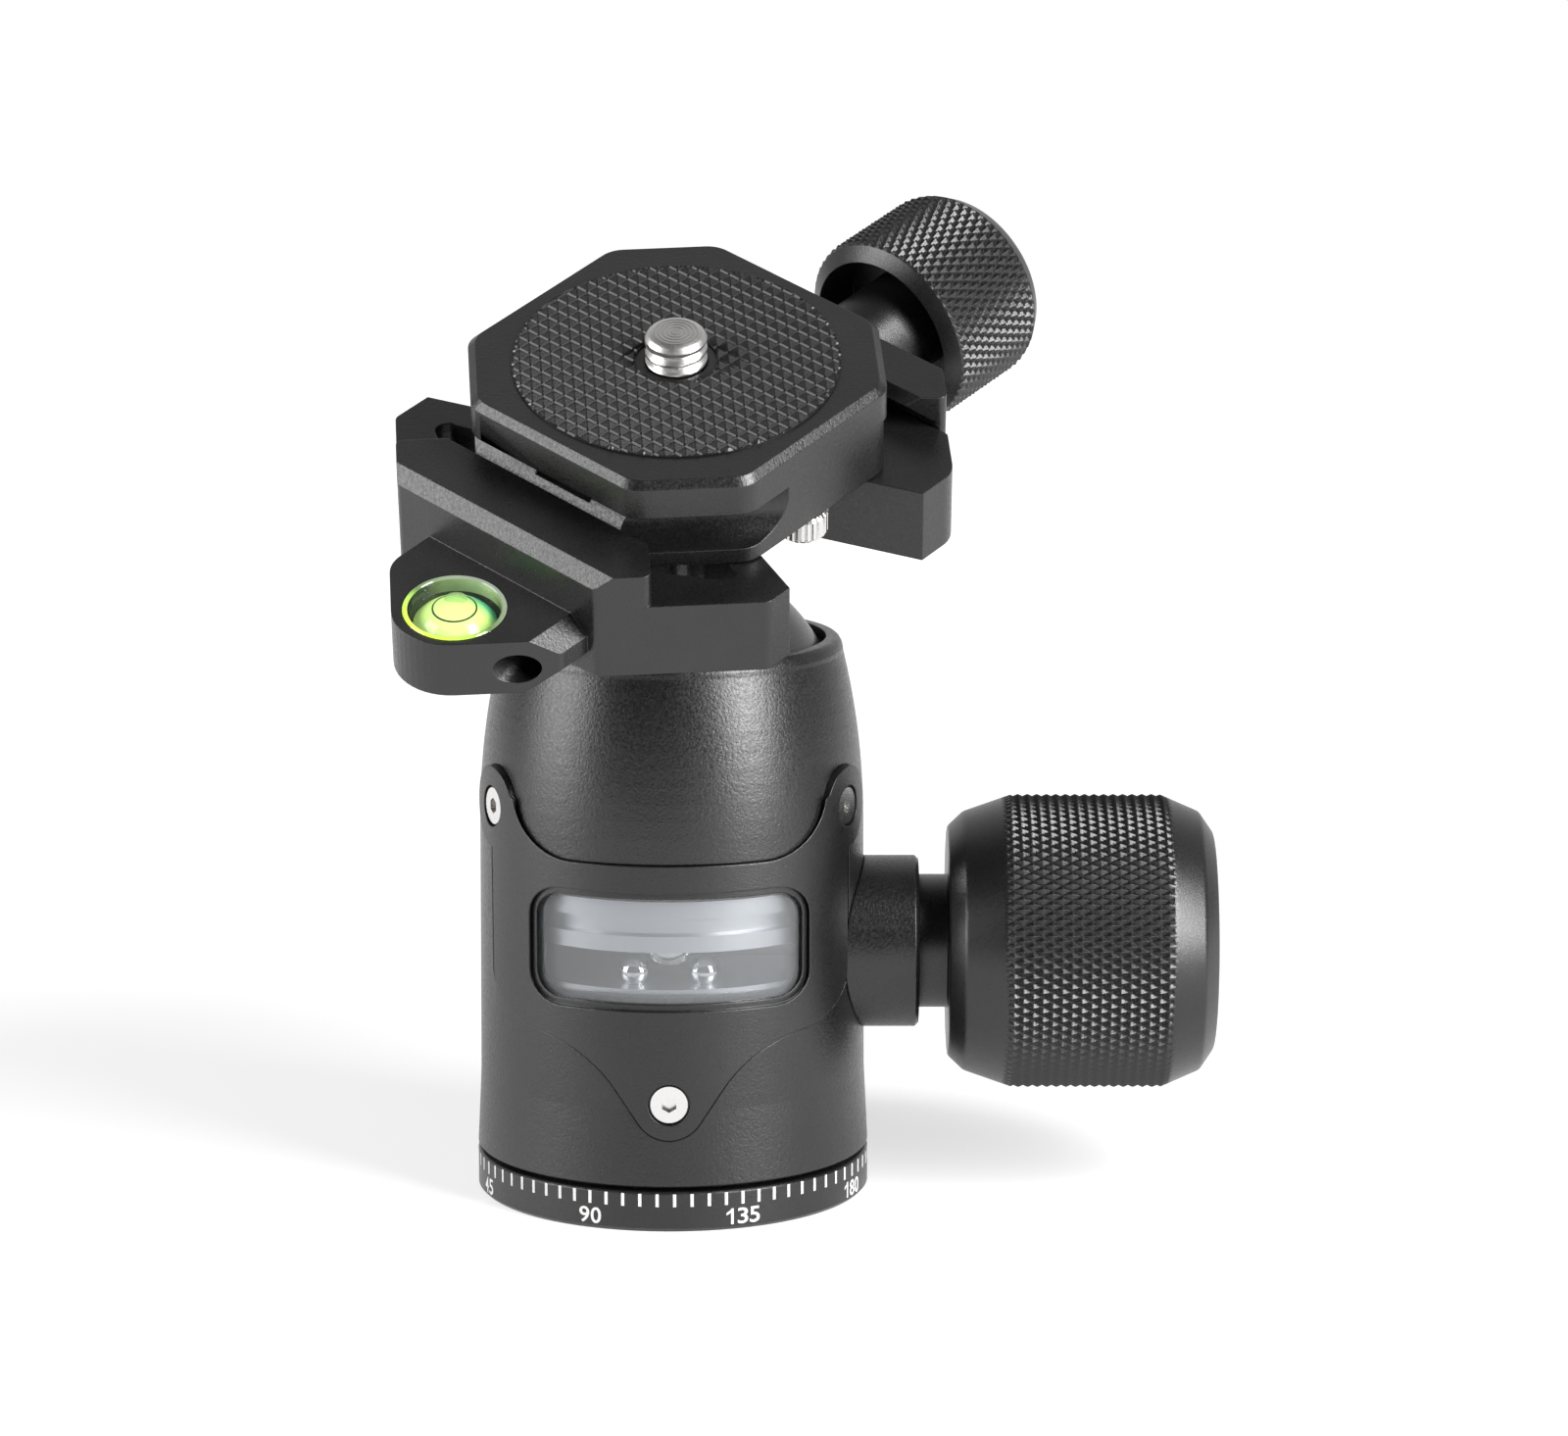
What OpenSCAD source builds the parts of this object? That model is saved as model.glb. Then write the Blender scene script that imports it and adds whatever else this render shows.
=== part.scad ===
// Compact tripod ball head with a panning base, a window on its locking cells,
// a screw clamp and a quick-release plate.
// Millimetres, +Z up. The origin is the centre of the base's underside. The window
// faces -Y and the ball-lock knob points along +X. The head is tilted at rest.

/* [Base] */
// Radius of the graduated base ring
body_r = 21; // [20.9:0.1:22]
// Height of the graduated base ring
ring_h = 4.3; // [4:0.1:4.6]
// Gap between the base ring and the housing that turns on it
pan_gap = 0.45; // [0.3:0.05:0.5]
// Wall radius of the tapped hole in the base, a 3/8-16 thread
tripod_thread_r = 3.97; // [3.17:0.01:4.2]
// Depth of the tapped hole in the base
tripod_thread_depth = 10; // [8:0.5:11]
// Outer radius of the threaded insert
insert_r = 8; // [7:0.1:8.5]
// Width of the ring between the panning spindle and the housing's bore
floor_ring_w = 7.5; // [7.2:0.1:8]

/* [Housing] */
// How far the housing draws in from the base ring's radius to mid height
housing_taper = 0.5; // [0.3:0.05:0.6]
// Wall of the housing round its long bore
housing_wall = 2; // [1.9:0.01:2.05]
// Height where the shoulder starts to draw in
shoulder_z = 40; // [38:0.5:41]
// Radius of the shoulder's curve
shoulder_curve_r = 78; // [74:1:84]
// Height of the rim that the ball looks out of
rim_z = 59.9; // [59.7:0.1:60.2]
// How far the rim laps over the ball
rim_lap = 1.5; // [1.2:0.05:1.6]

/* [Ball] */
// Gap between the ball and the housing's bore, for the liner and the seat
ball_gap = 0.5; // [0.5:0.01:0.6]
// Height of the ball's lowest point above the underside of the base
ball_low = 32.4; // [32.2:0.1:32.5]
// Radius of the stem above the ball
stem_r = 7.2; // [6.5:0.1:7.4]
// Tilt of the stem towards the window
rest_tilt = 28.2; // [0:0.1:30]
// Turn of the clamp about the stem
rest_spin = -40.9; // [-60:0.1:60]

/* [Ball lock] */
// Height of the lock shaft
lock_z = 26.6; // [26.5:0.05:26.8]
// Radius of the knurled lock knob
lock_knob_r = 15.75; // [14:0.05:16]
// Length of the lock knob
lock_knob_len = 28.5; // [26:0.5:30]
// Radius of the lock shaft's plain end
lock_shaft_r = 2.1; // [1.9:0.05:2.15]
// Slope of the wedge cone that lifts the pressure cup
wedge_angle = 15; // [12:1:16]
// Radius of the small steel balls in each cell
cell_ball_r = 1.75; // [1.5:0.05:1.8]
// Radius of the large steel ball in each cell
cell_dome_r = 2.4; // [2.2:0.05:2.5]

/* [Pan lock] */
// Height of the pan lock screw
pan_lock_z = 11.2; // [10.8:0.1:11.4]
// Radius of the pan lock knob
pan_knob_r = 6; // [5:0.1:6.2]
// Length of the pan lock knob
pan_knob_len = 9; // [7:0.5:10]

/* [Clamp] */
// Height of the clamp's underside above the ball's centre
clamp_z = 27.7; // [27.5:0.1:28]
// Thickness of the clamp's floor
clamp_t = 8.5; // [8.3:0.1:8.6]
// Height of the jaws above the floor
jaw_h = 3.8; // [3.6:0.1:4]
// Half length of the clamp along the jaws
clamp_half = 24.9; // [24:0.1:26]
// Distance of the fixed jaw's outer face from the stem
fixed_face = 24.9; // [24.5:0.1:25.5]
// Distance of the moving jaw's outer face from the stem
moving_face = 26.6; // [26.3:0.1:27]
// Distance of the floor's back face from the stem
floor_back = 20.8; // [20.6:0.1:20.8]
// Radius of the clamp knob
clamp_knob_r = 10.7; // [9.5:0.05:11]
// Length of the clamp knob
clamp_knob_len = 15; // [13:0.5:17]

/* [Plate] */
// Width of the dovetail, across the jaws
dovetail_w = 38; // [37.9:0.05:38.1]
// Length of the plate, along the jaws
plate_len = 38.3; // [37:0.1:39]
// Thickness of the plate
plate_t = 10.3; // [10:0.1:10.6]
// Corner cut of the plate's flange
plate_cut = 8.3; // [7:0.1:9]
// Thickness of the flange
flange_t = 4.2; // [4:0.1:4.5]
// Offset of the plate from the stem, away from the fixed jaw
plate_shift = 1.3; // [1:0.05:1.5]
// Offset of the plate along the jaws
plate_at = 0.25; // [0:0.05:0.5]
// Radius of the rubber pad
pad_r = 16.8; // [14:0.1:17.2]
// Thickness of the rubber pad
pad_t = 0.5; // [0.4:0.1:1]
// Radius of the camera screw, a 1/4-20 thread
camera_screw_r = 3.175; // [3:0.005:3.2]
// Length of the camera screw above the plate
camera_screw_out = 3.6; // [3:0.1:5.6]

/* [Level] */
// Half width of the lug that holds the level
lug_half = 10.1; // [9.8:0.1:11]
// Distance of the lug's nose from the stem
lug_nose = 38.1; // [37:0.1:40]
// Thickness of the lug
lug_t = 6.4; // [6:0.1:6.5]
// Radius of the round level
vial_r = 5.25; // [4.8:0.05:5.5]
// Distance of the level's centre from the stem
vial_at = 31.9; // [31.5:0.1:32.5]

/* [Hidden] */

$fn = 96;
run = 0.05;          // running clearance on a radius
fit = 0.02;          // clearance of pieces fixed to each other
eps = 0.01;
far = 60;

// radii that follow the base ring
housing_r = body_r - housing_taper;
bore_r = housing_r - housing_wall;
ball_r = bore_r - ball_gap;
ball_z = ball_low + ball_r;
rim_r = ball_r - rim_lap;
spindle_r = bore_r - floor_ring_w;

// heights up the base
housing_z = ring_h + pan_gap;
flange_top = ring_h + 2.5;
floor_z = flange_top + 0.6;
floor_h = 7.6;
floor_top = floor_z + floor_h;
nut_z = floor_top + 0.5;
cell_z = floor_top + 5.05;
cell_top = lock_z - 1.15;
cup_z = lock_z + 2.8;
cup_top = ball_z - 8.4;
skirt_z = 13;
spindle_flange_r = spindle_r + 5.5;
screw_circle_r = spindle_r + 2.6;
cell_circle_r = bore_r - 3.9;
dome_circle_r = bore_r - 2.9;
cell_half_gap = 3.66;
cells = [-90, 30, 150];

// window and its bezel
bezel_in = housing_r - 0.5;
bezel_out = housing_r + 0.45;
window_z = 29.95;
window_w = 27.8;
window_h = 11.2;
window_corner = 2.6;
ear_z = 43.2;
ear_angle = 64.2;
ear_r = 4.3;
tab_z = 13.7;
tab_r = 3.8;
bezel_hole_r = 2.2;
bezel_head_r = 1.95;
bezel_shank_r = 1.2;

// lock stations along X
collar_r = 9.2;
collar_x = housing_r + 5.9;
collar_bore_r = 7.3;
spigot_r = 7.4;
lock_thread_r = 4;
hub_x = collar_x - 3.5;
knob_x = collar_x + 3.1;
cone_end = 9;
cone_start = 2.5;

// clamp heights above the ball's centre
clamp_floor = clamp_z + clamp_t;
jaw_top = clamp_floor + jaw_h;
plate_z = clamp_floor + 0.2;
plate_top = plate_z + plate_t;
flange_z = plate_top - flange_t;
dovetail_edge = 0.95;
dovetail_slope = 3.2;
jaw_tip_drop = 1.05;
dovetail_half = dovetail_w / 2;
screw_z = clamp_z + clamp_t / 2 + 0.15;
front_cut = 38.4;
front_skew = -0.9;
back_cut = 41;
edge_cut = 1.4;
stop_at = 17;
pin_at = 13.5;
pin_r = 1.5;
clamp_thread_r = 3;
bolt_r = 3;

// ---- shared shapes ----

// points of an arc about (cx, cy)
function arc(cx, cy, r, a0, a1, n = 10) =
    [for (i = [0:n]) let (a = a0 + (a1 - a0) * i / n) [cx + r * cos(a), cy + r * sin(a)]];

// a closed outline with its corners rounded, radii given corner by corner
function rounded(pts, radii, n = 6) = [
    for (i = [0:len(pts) - 1])
        let (
            p = pts[i],
            a = pts[(i + len(pts) - 1) % len(pts)] - p,
            b = pts[(i + 1) % len(pts)] - p,
            ua = a / norm(a),
            ub = b / norm(b),
            half = acos(ua * ub) / 2,
            r = radii[i],
            mid = (ua + ub) / norm(ua + ub),
            c = p + mid * r / sin(half),
            pa = p + ua * r / tan(half),
            start = atan2(pa[1] - c[1], pa[0] - c[0]),
            side = sign(ua[1] * ub[0] - ua[0] * ub[1])
        )
        for (k = [0:n])
            let (t = start + side * (180 - 2 * half) * k / n)
            r == 0 ? (k == 0 ? p : undef) : c + r * [cos(t), sin(t)]
];

function solid_points(pts) = [for (p = pts) if (!is_undef(p)) p];

module outline(pts, radii, h) {
    linear_extrude(h) polygon(solid_points(rounded(pts, radii)));
}

// tube between two radii
module tube(r_out, r_in, z0, z1) {
    difference() {
        translate([0, 0, z0]) cylinder(r = r_out, h = z1 - z0);
        translate([0, 0, z0 - 1]) cylinder(r = r_in, h = z1 - z0 + 2);
    }
}

// turned shape about Z from [radius, height] points
module turned(pts) {
    rotate_extrude() polygon(pts);
}

// lays a shape built up Z along +X at the lock shaft's height
module along_x() {
    translate([0, 0, lock_z]) rotate([0, 90, 0]) children();
}

// lays a shape built up Z along +Y at the pan lock's height
module along_y() {
    translate([0, 0, pan_lock_z]) rotate([-90, 0, 0]) children();
}

// places a shape that points along +X at an angle round the housing
module round_at(angle, z) {
    rotate([0, 0, angle]) translate([0, 0, z]) rotate([0, 90, 0]) children();
}

// the tilted frame of the head: X runs along the jaws, Y away from the fixed jaw,
// Z up the stem, from the ball's centre
module head() {
    translate([0, 0, ball_z]) rotate([rest_tilt, 0, 0]) rotate([0, 0, rest_spin]) children();
}

// a hexagon socket, cut down from z = 0
module hex_socket(across, depth) {
    translate([0, 0, -depth]) cylinder(r = across / sqrt(3), h = depth + 1, $fn = 6);
}

// ---- panning base ----

module pan_ring() color("dimgray") {
    lip_r = bore_r - 0.2;
    difference() {
        turned([
            [0, 0], [body_r - 0.4, 0], [body_r, 0.4], [body_r, ring_h - 0.2], [body_r - 0.2, ring_h],
            [lip_r, ring_h], [lip_r, ring_h + 1.2], [spindle_flange_r + 0.6, ring_h + 1.2],
            [spindle_flange_r + 0.6, ring_h - fit], [0, ring_h - fit]
        ]);
        translate([0, 0, -1]) cylinder(r = insert_r + fit, h = ring_h + 2);
        pan_screw_places() screw_space();
    }
}

module pan_screw_places() {
    for (a = [0:120:240]) rotate([0, 0, a + 90]) translate([screw_circle_r, 0, 0]) children();
}

// the space that a countersunk screw takes in the base ring and the spindle's flange
module screw_space() {
    translate([0, 0, -1]) cylinder(r = 1.5 + fit, h = flange_top);
    translate([0, 0, 0.2]) cylinder(r1 = 2.8 + fit, r2 = 1.5 + fit, h = 1.3);
    translate([0, 0, -1]) cylinder(r = 2.8 + fit, h = 1.2 + eps);
}

module pan_screws() color("silver") {
    pan_screw_places() difference() {
        union() {
            translate([0, 0, 0.2]) cylinder(r1 = 2.8, r2 = 1.5, h = 1.3);
            translate([0, 0, 0.2]) cylinder(r = 1.5, h = flange_top - 1.4);
        }
        translate([0, 0, 0.2]) mirror([0, 0, 1]) hex_socket(2, 1);
    }
}

module thread_insert() color("goldenrod") {
    difference() {
        translate([0, 0, 0.2]) cylinder(r = insert_r, h = tripod_thread_depth + 1.8);
        translate([0, 0, -1]) cylinder(r = tripod_thread_r, h = tripod_thread_depth + 1.2);
    }
}

module pan_spindle() color("silver") {
    difference() {
        turned([
            [0, ring_h], [spindle_flange_r, ring_h], [spindle_flange_r, flange_top],
            [spindle_r, flange_top], [spindle_r, pan_lock_z - 3.2], [spindle_r - 0.4, pan_lock_z - 2.8],
            [spindle_r - 0.4, pan_lock_z + 2.8], [spindle_r, pan_lock_z + 3.2],
            [spindle_r, nut_z + 3.4], [0, nut_z + 3.4]
        ]);
        translate([0, 0, -1]) cylinder(r = insert_r + fit, h = tripod_thread_depth + 3.2);
        pan_screw_places() screw_space();
    }
}

module nut_washer() color("lightgray") {
    tube(spindle_r + 3.2, spindle_r + fit, floor_top + run, nut_z - fit);
}

module pan_nut() color("gray") {
    difference() {
        translate([0, 0, nut_z]) cylinder(r = spindle_r + 3.4, h = 3, $fn = 8);
        translate([0, 0, nut_z - 1]) cylinder(r = spindle_r + fit, h = 5);
    }
}

module pan_washer() color("tan") {
    tube(spindle_flange_r - 0.5, spindle_r + 0.1, flange_top + run, floor_z - fit);
}

// ---- housing ----

shoulder_end = 58.3;
lip_r = rim_r + 0.9;

// radius of the shoulder at a height
function shoulder(z) =
    housing_r - shoulder_curve_r + sqrt(pow(shoulder_curve_r, 2) - pow(z - shoulder_z, 2));

module housing_skin() {
    lip_w = shoulder(shoulder_end) - lip_r;
    turned(concat(
        [[0, housing_z], [body_r - 0.25, housing_z], [body_r, housing_z + 0.25], [housing_r + 0.12, skirt_z]],
        [for (i = [0:10]) let (z = shoulder_z + (shoulder_end - shoulder_z) * i / 10) [shoulder(z), z]],
        [for (i = [1:5]) let (a = i * 18)
            [lip_r + lip_w * cos(a), shoulder_end + (rim_z - shoulder_end) * sin(a)]],
        [[0, rim_z]]
    ));
}

module housing() color([0.13, 0.13, 0.14]) {
    difference() {
        housing_skin();
        cylinder(r = bore_r, h = ball_z);
        translate([0, 0, ball_z]) sphere(r = bore_r);
        translate([0, 0, ball_z + sqrt(pow(bore_r, 2) - pow(rim_r, 2))])
            cylinder(r = rim_r, h = far);
        bezel_shape(0.1, bezel_in - fit, far);
        window_prism(window_w + 3.2, window_h + 3.2, window_corner + 1, bezel_in - 1.05);
        window_prism(window_w - 1.4, window_h - 1.2, window_corner - 0.4, 10);
        bezel_screw_places() cylinder(r = bezel_shank_r + fit, h = far);
        along_x() cylinder(r = spigot_r + fit, h = far);
        along_y() cylinder(r = pan_screw_r + run, h = far);
    }
}

// the ring that closes the housing's bore: it turns on the spindle and carries the cells
module housing_floor() color("gray") {
    wall_r = spindle_r + 4;
    difference() {
        turned([
            [spindle_r + run, floor_z], [bore_r - run, floor_z], [bore_r - run, cell_z - fit],
            [wall_r, cell_z - fit], [wall_r, floor_top], [spindle_r + run, floor_top]
        ]);
        along_y() cylinder(r = pan_screw_r + run, h = far);
    }
}

// a block through the front wall, from the depth given outwards
module window_prism(w, h, corner, from) {
    intersection() {
        rotate([90, 0, 0]) outline(
            [[-w / 2, window_z - h / 2], [w / 2, window_z - h / 2],
             [w / 2, window_z + h / 2], [-w / 2, window_z + h / 2]],
            [corner, corner, corner, corner], far
        );
        tube(far, from, 0, far);
    }
}

// half of the bezel's outline, seen from the front, grown by g
function bezel_half(g) = concat(
    arc(0, tab_z, tab_r + g, -90, -34),
    arc(16.35, 7.9, 13 - g, 146, 98.5),
    arc(13.7, 25.7, 5 + g, -81.5, 0),
    [[18.8 + g, ear_z], [17.2 + g, ear_z + 2.1]],
    arc(10.2, ear_z + 2.1, 6.2 - g, -6, -90)
);

function bezel_outline(g) = let (half = bezel_half(g), n = len(half) - 1) concat(
    half, [for (i = [n:-1:1]) [-half[i][0], half[i][1]]]
);

module bezel_shape(g, r_in, r_out) {
    intersection() {
        tube(r_out, r_in, 5, 52);
        union() {
            rotate([90, 0, 0]) linear_extrude(far) polygon(bezel_outline(g));
            for (s = [-1, 1]) round_at(-90 + s * ear_angle, ear_z) cylinder(r = ear_r + g, h = far);
        }
    }
}

module bezel_screw_places() {
    round_at(-90, tab_z) children();
    for (s = [-1, 1]) round_at(-90 + s * ear_angle, ear_z) children();
}

module window_bezel() color([0.1, 0.1, 0.11]) {
    difference() {
        bezel_shape(0, bezel_in, bezel_out);
        along_x() cylinder(r = collar_r + 0.1, h = far);
        window_prism(window_w, window_h, window_corner, 10);
        window_prism(window_w + 1.6, window_h + 1.4, window_corner + 0.7, bezel_in + 0.5);
        bezel_screw_places() {
            cylinder(r = bezel_shank_r + 0.1, h = far);
            translate([0, 0, bezel_in + 0.3]) cylinder(r = bezel_hole_r, h = far);
        }
    }
}

module window_lens() color([0.6, 0.62, 0.64, 0.5]) {
    intersection() {
        tube(bezel_in - 0.05, bezel_in - 1, 5, 52);
        window_prism(window_w + 3, window_h + 3, window_corner + 0.9, 10);
    }
}

module bezel_screws() color("silver") {
    bezel_screw_places() difference() {
        union() {
            translate([0, 0, bore_r + 0.1]) cylinder(r = bezel_shank_r, h = bezel_in - bore_r + 0.4);
            translate([0, 0, bezel_in + 0.32]) cylinder(r = bezel_head_r, h = 0.4);
        }
        translate([0, 0, bezel_in + 0.72]) hex_socket(1.5, 0.9);
    }
}

// ---- locking cells under the ball ----

module cell_ring() color([0.62, 0.63, 0.65]) {
    difference() {
        translate([0, 0, cell_z]) cylinder(r = bore_r - run, h = cell_top - cell_z);
        translate([0, 0, cell_z - 1]) cylinder(r = 3, h = far);
        translate([-cone_end, 0, 0]) along_x() cylinder(r = lock_shaft_r + run, h = far);
        cell_ball_places() sphere(r = cell_ball_r + fit);
    }
}

module cell_ball_places() {
    for (a = cells)
        for (s = [-1, 1])
            rotate([0, 0, a]) translate([cell_circle_r, s * cell_half_gap, lock_z]) children();
}

module cell_balls() color("white") {
    cell_ball_places() sphere(r = cell_ball_r, $fn = 48);
}

dome_z = cup_z + 0.28;

module cell_dome_places() {
    for (a = cells) rotate([0, 0, a]) translate([dome_circle_r, 0, dome_z]) children();
}

module cell_domes() color("white") {
    cell_dome_places() sphere(r = cell_dome_r, $fn = 48);
}

// the cup that presses up on the ball, with two bands turned in its skirt
module pressure_cup() color([0.72, 0.73, 0.75]) {
    cup_r = bore_r - 0.1;
    difference() {
        turned([
            [0, cup_z], [cup_r, cup_z], [cup_r, cup_z + 1.7], [cup_r - 0.8, cup_z + 1.9],
            [cup_r - 0.8, cup_z + 3.3], [cup_r, cup_z + 3.5], [cup_r, cup_top], [0, cup_top]
        ]);
        translate([0, 0, ball_z]) sphere(r = bore_r + 0.1);
        cell_dome_places() sphere(r = cell_dome_r + fit);
        translate([0, 0, cup_z - 1]) cylinder(r = pin_tip_r + fit, h = 4);
        translate([-cone_end, 0, 0]) along_x() cylinder(r = lock_shaft_r + 0.7, h = far);
    }
}

module cup_liner() color("ivory") {
    intersection() {
        translate([0, 0, ball_z]) difference() {
            sphere(r = bore_r + 0.1 - fit);
            sphere(r = ball_r + run);
        }
        translate([0, 0, cup_top - 6]) cylinder(r = far, h = 5.6);
    }
}

pin_tip_r = 1.8;
cone_r_at_pin = lock_shaft_r - cone_start * tan(wedge_angle);
pin_z = lock_z + cone_r_at_pin + (pin_tip_r + fit) / cos(wedge_angle);

// the nose pin in the cup's floor, which rides on the wedge cone
module lift_pin() color("lightgray") {
    translate([0, 0, pin_z]) sphere(r = pin_tip_r);
    translate([0, 0, pin_z]) cylinder(r = pin_tip_r, h = cup_z + 2.2 - pin_z);
}

// ---- ball lock ----

module lock_cone() color("silver") {
    nose = 6.5;
    translate([cone_start, 0, 0]) along_x() cylinder(r = lock_shaft_r, h = cone_end - cone_start);
    translate([cone_start - nose, 0, 0]) along_x()
        cylinder(r1 = lock_shaft_r - nose * tan(wedge_angle), r2 = lock_shaft_r, h = nose + eps);
}

module lock_shaft() color("silver") {
    translate([cone_end + fit, 0, 0]) along_x() cylinder(r = lock_shaft_r, h = bore_r + 0.5 - cone_end);
    translate([bore_r + 0.4, 0, 0]) along_x() cylinder(r = lock_thread_r - run, h = 22);
}

module lock_collar() color([0.12, 0.12, 0.13]) {
    difference() {
        union() {
            translate([bore_r - 3, 0, 0]) along_x() cylinder(r = spigot_r, h = 6);
            difference() {
                translate([bore_r - 3, 0, 0]) along_x()
                    turned([[0, 0], [collar_r, 0], [collar_r, collar_x - bore_r + 2.6],
                            [collar_r - 0.4, collar_x - bore_r + 3], [0, collar_x - bore_r + 3]]);
                translate([0, 0, 5]) cylinder(r = housing_r + 0.12, h = far);
            }
        }
        cylinder(r = bore_r + 0.08, h = far);
        along_x() cylinder(r = lock_thread_r, h = far);
        translate([hub_x - 0.4, 0, 0]) along_x() cylinder(r = collar_bore_r, h = far);
    }
}

module lock_knob() color([0.1, 0.1, 0.1]) {
    band = lock_knob_r;
    neck_r = collar_bore_r - 0.15;
    tip = knob_x + lock_knob_len;
    difference() {
        translate([hub_x, 0, 0]) along_x() turned([
            [0, 0], [neck_r, 0], [neck_r, knob_x - hub_x], [band - 3.45, knob_x - hub_x],
            [band - 1.85, knob_x - hub_x + 1.7], [band - 0.15, knob_x - hub_x + 6.6],
            [band, knob_x - hub_x + 6.8], [band, tip - hub_x - 5.6], [band - 0.15, tip - hub_x - 5.4],
            [band - 1.85, tip - hub_x - 1.5], [band - 4.05, tip - hub_x], [0, tip - hub_x]
        ]);
        along_x() cylinder(r = lock_thread_r - run + fit, h = bore_r + 22.5);
    }
}

// ---- pan lock, at the back ----

pan_screw_r = 3;
shoe_len = 2.4;
pan_shoe_y = spindle_r + 0.1;
pan_knob_y = body_r + 1;

module pan_lock_shoe() color("goldenrod") {
    translate([0, pan_shoe_y, 0]) along_y() cylinder(r = pan_screw_r, h = shoe_len);
}

module pan_lock_screw() color("silver") {
    start = pan_shoe_y + shoe_len + fit;
    translate([0, start, 0]) along_y() cylinder(r = pan_screw_r, h = pan_knob_y + 6 - start);
}

module pan_lock_knob() color([0.1, 0.1, 0.1]) {
    difference() {
        translate([0, pan_knob_y, 0]) along_y() turned([
            [0, 0], [pan_knob_r - 1, 0], [pan_knob_r, 1], [pan_knob_r, pan_knob_len - 1],
            [pan_knob_r - 1, pan_knob_len], [0, pan_knob_len]
        ]);
        along_y() cylinder(r = pan_screw_r + fit, h = pan_knob_y + 6 + fit);
    }
}

// ---- ball ----

module seat_ring() color("ivory") {
    intersection() {
        translate([0, 0, ball_z]) difference() {
            sphere(r = bore_r - run);
            sphere(r = ball_r + run);
        }
        translate([0, 0, ball_z + 1.5]) cylinder(r = far, h = 6.3);
    }
}

module ball_stem() color([0.2, 0.2, 0.21]) head() {
    flare_r = stem_r + 1.4;
    flare_z = sqrt(pow(ball_r, 2) - pow(flare_r, 2));
    difference() {
        union() {
            sphere(r = ball_r);
            translate([0, 0, flare_z]) cylinder(r1 = flare_r, r2 = stem_r, h = ball_r - flare_z);
            cylinder(r = stem_r, h = clamp_z - run);
        }
        translate([0, 0, clamp_z - 14]) cylinder(r = bolt_r, h = far);
    }
}

module clamp_bolt() color("silver") head() {
    head_top = clamp_floor - 0.1;
    difference() {
        union() {
            translate([0, 0, clamp_z - 13]) cylinder(r = bolt_r - fit, h = clamp_t + 11);
            translate([0, 0, head_top - 3]) cylinder(r1 = bolt_r - fit, r2 = bolt_r + 3, h = 3);
        }
        translate([0, 0, head_top]) hex_socket(4, 2.2);
    }
}

// ---- clamp ----

notch_mouth = 10.4;
notch_root = 4.6;
notch_x = 9.7;
notch_y = 0.85;
pocket_end = 19.9;
pocket_wall = 3.8;

// ends of the fixed jaw's outer face, where the corner cuts start
front_left = fixed_face - front_cut + front_skew;
front_right = front_cut - fixed_face + front_skew;

// plan of the clamp's floor: a block whose corners are cut at 45 degrees
module floor_plan(h) {
    xb = back_cut - floor_back;
    c = clamp_half;
    outline(
        [[front_left, -fixed_face], [front_right, -fixed_face], [c, c - front_cut - front_skew],
         [c, back_cut - c], [xb, floor_back], [-xb, floor_back], [-c, back_cut - c],
         [-c, c - front_cut + front_skew]],
        [1.2, 1.2, 1.2, 3.5, 0.6, 0.6, 3.5, 1.2], h
    );
}

// one of the two mouths cut into the floor's ends, where the stop screws travel
module end_notch(side) {
    c = clamp_half;
    flare = (notch_mouth - notch_root) / (c - notch_x);
    over = 3;
    translate([0, notch_y, clamp_z - 1])
        linear_extrude(clamp_t + 2)
            polygon(solid_points(rounded(
                [[side * (c + over), -notch_mouth - flare * over], [side * (c + over), notch_mouth + flare * over],
                 [side * notch_x, notch_root], [side * notch_x, -notch_root]],
                [0, 0, 3, 3]
            )));
}

// lightening pocket behind a front corner
module corner_pocket(side) {
    cut = front_cut + side * front_skew - pocket_wall * sqrt(2);
    translate([0, 0, clamp_z - 1])
        linear_extrude(clamp_t + 2)
            polygon(solid_points(rounded(
                [[side * 12.3, 15.4 - cut], [side * (cut - 12.9), -12.9],
                 [side * pocket_end, -11.3], [side * 13.2, -9.2], [side * 10, -9.6]],
                [1.2, 1.2, 1, 1, 1.2]
            )));
}

// cross-section of the fixed jaw, as [y, z]
function fixed_jaw_section() = let (
    edge = plate_shift - dovetail_half,
    slope_z = plate_z + dovetail_edge,
    tip_z = jaw_top - jaw_tip_drop,
    tip = edge + (tip_z - slope_z) - 0.07
) [
    [-fixed_face, clamp_floor - 1], [-fixed_face, jaw_top - edge_cut],
    [-fixed_face + edge_cut, jaw_top], [tip - jaw_tip_drop, jaw_top], [tip, tip_z],
    [tip - (tip_z - clamp_floor - 0.7), clamp_floor + 0.7],
    [tip - (tip_z - clamp_floor - 0.7), clamp_floor - 1]
];

module fixed_jaw() {
    intersection() {
        translate([-far / 2, 0, 0]) rotate([90, 0, 90]) linear_extrude(far) polygon(fixed_jaw_section());
        translate([0, 0, clamp_floor - 1])
            outline([[front_left, -fixed_face], [front_right, -fixed_face],
                     [front_right + 4, -fixed_face + 4], [front_right - 2, -fixed_face + 10],
                     [front_left + 2, -fixed_face + 10], [front_left - 4, -fixed_face + 4]],
                    [1.2, 1.2, 0.8, 0, 0, 0.8], far / 4);
    }
}

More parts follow.
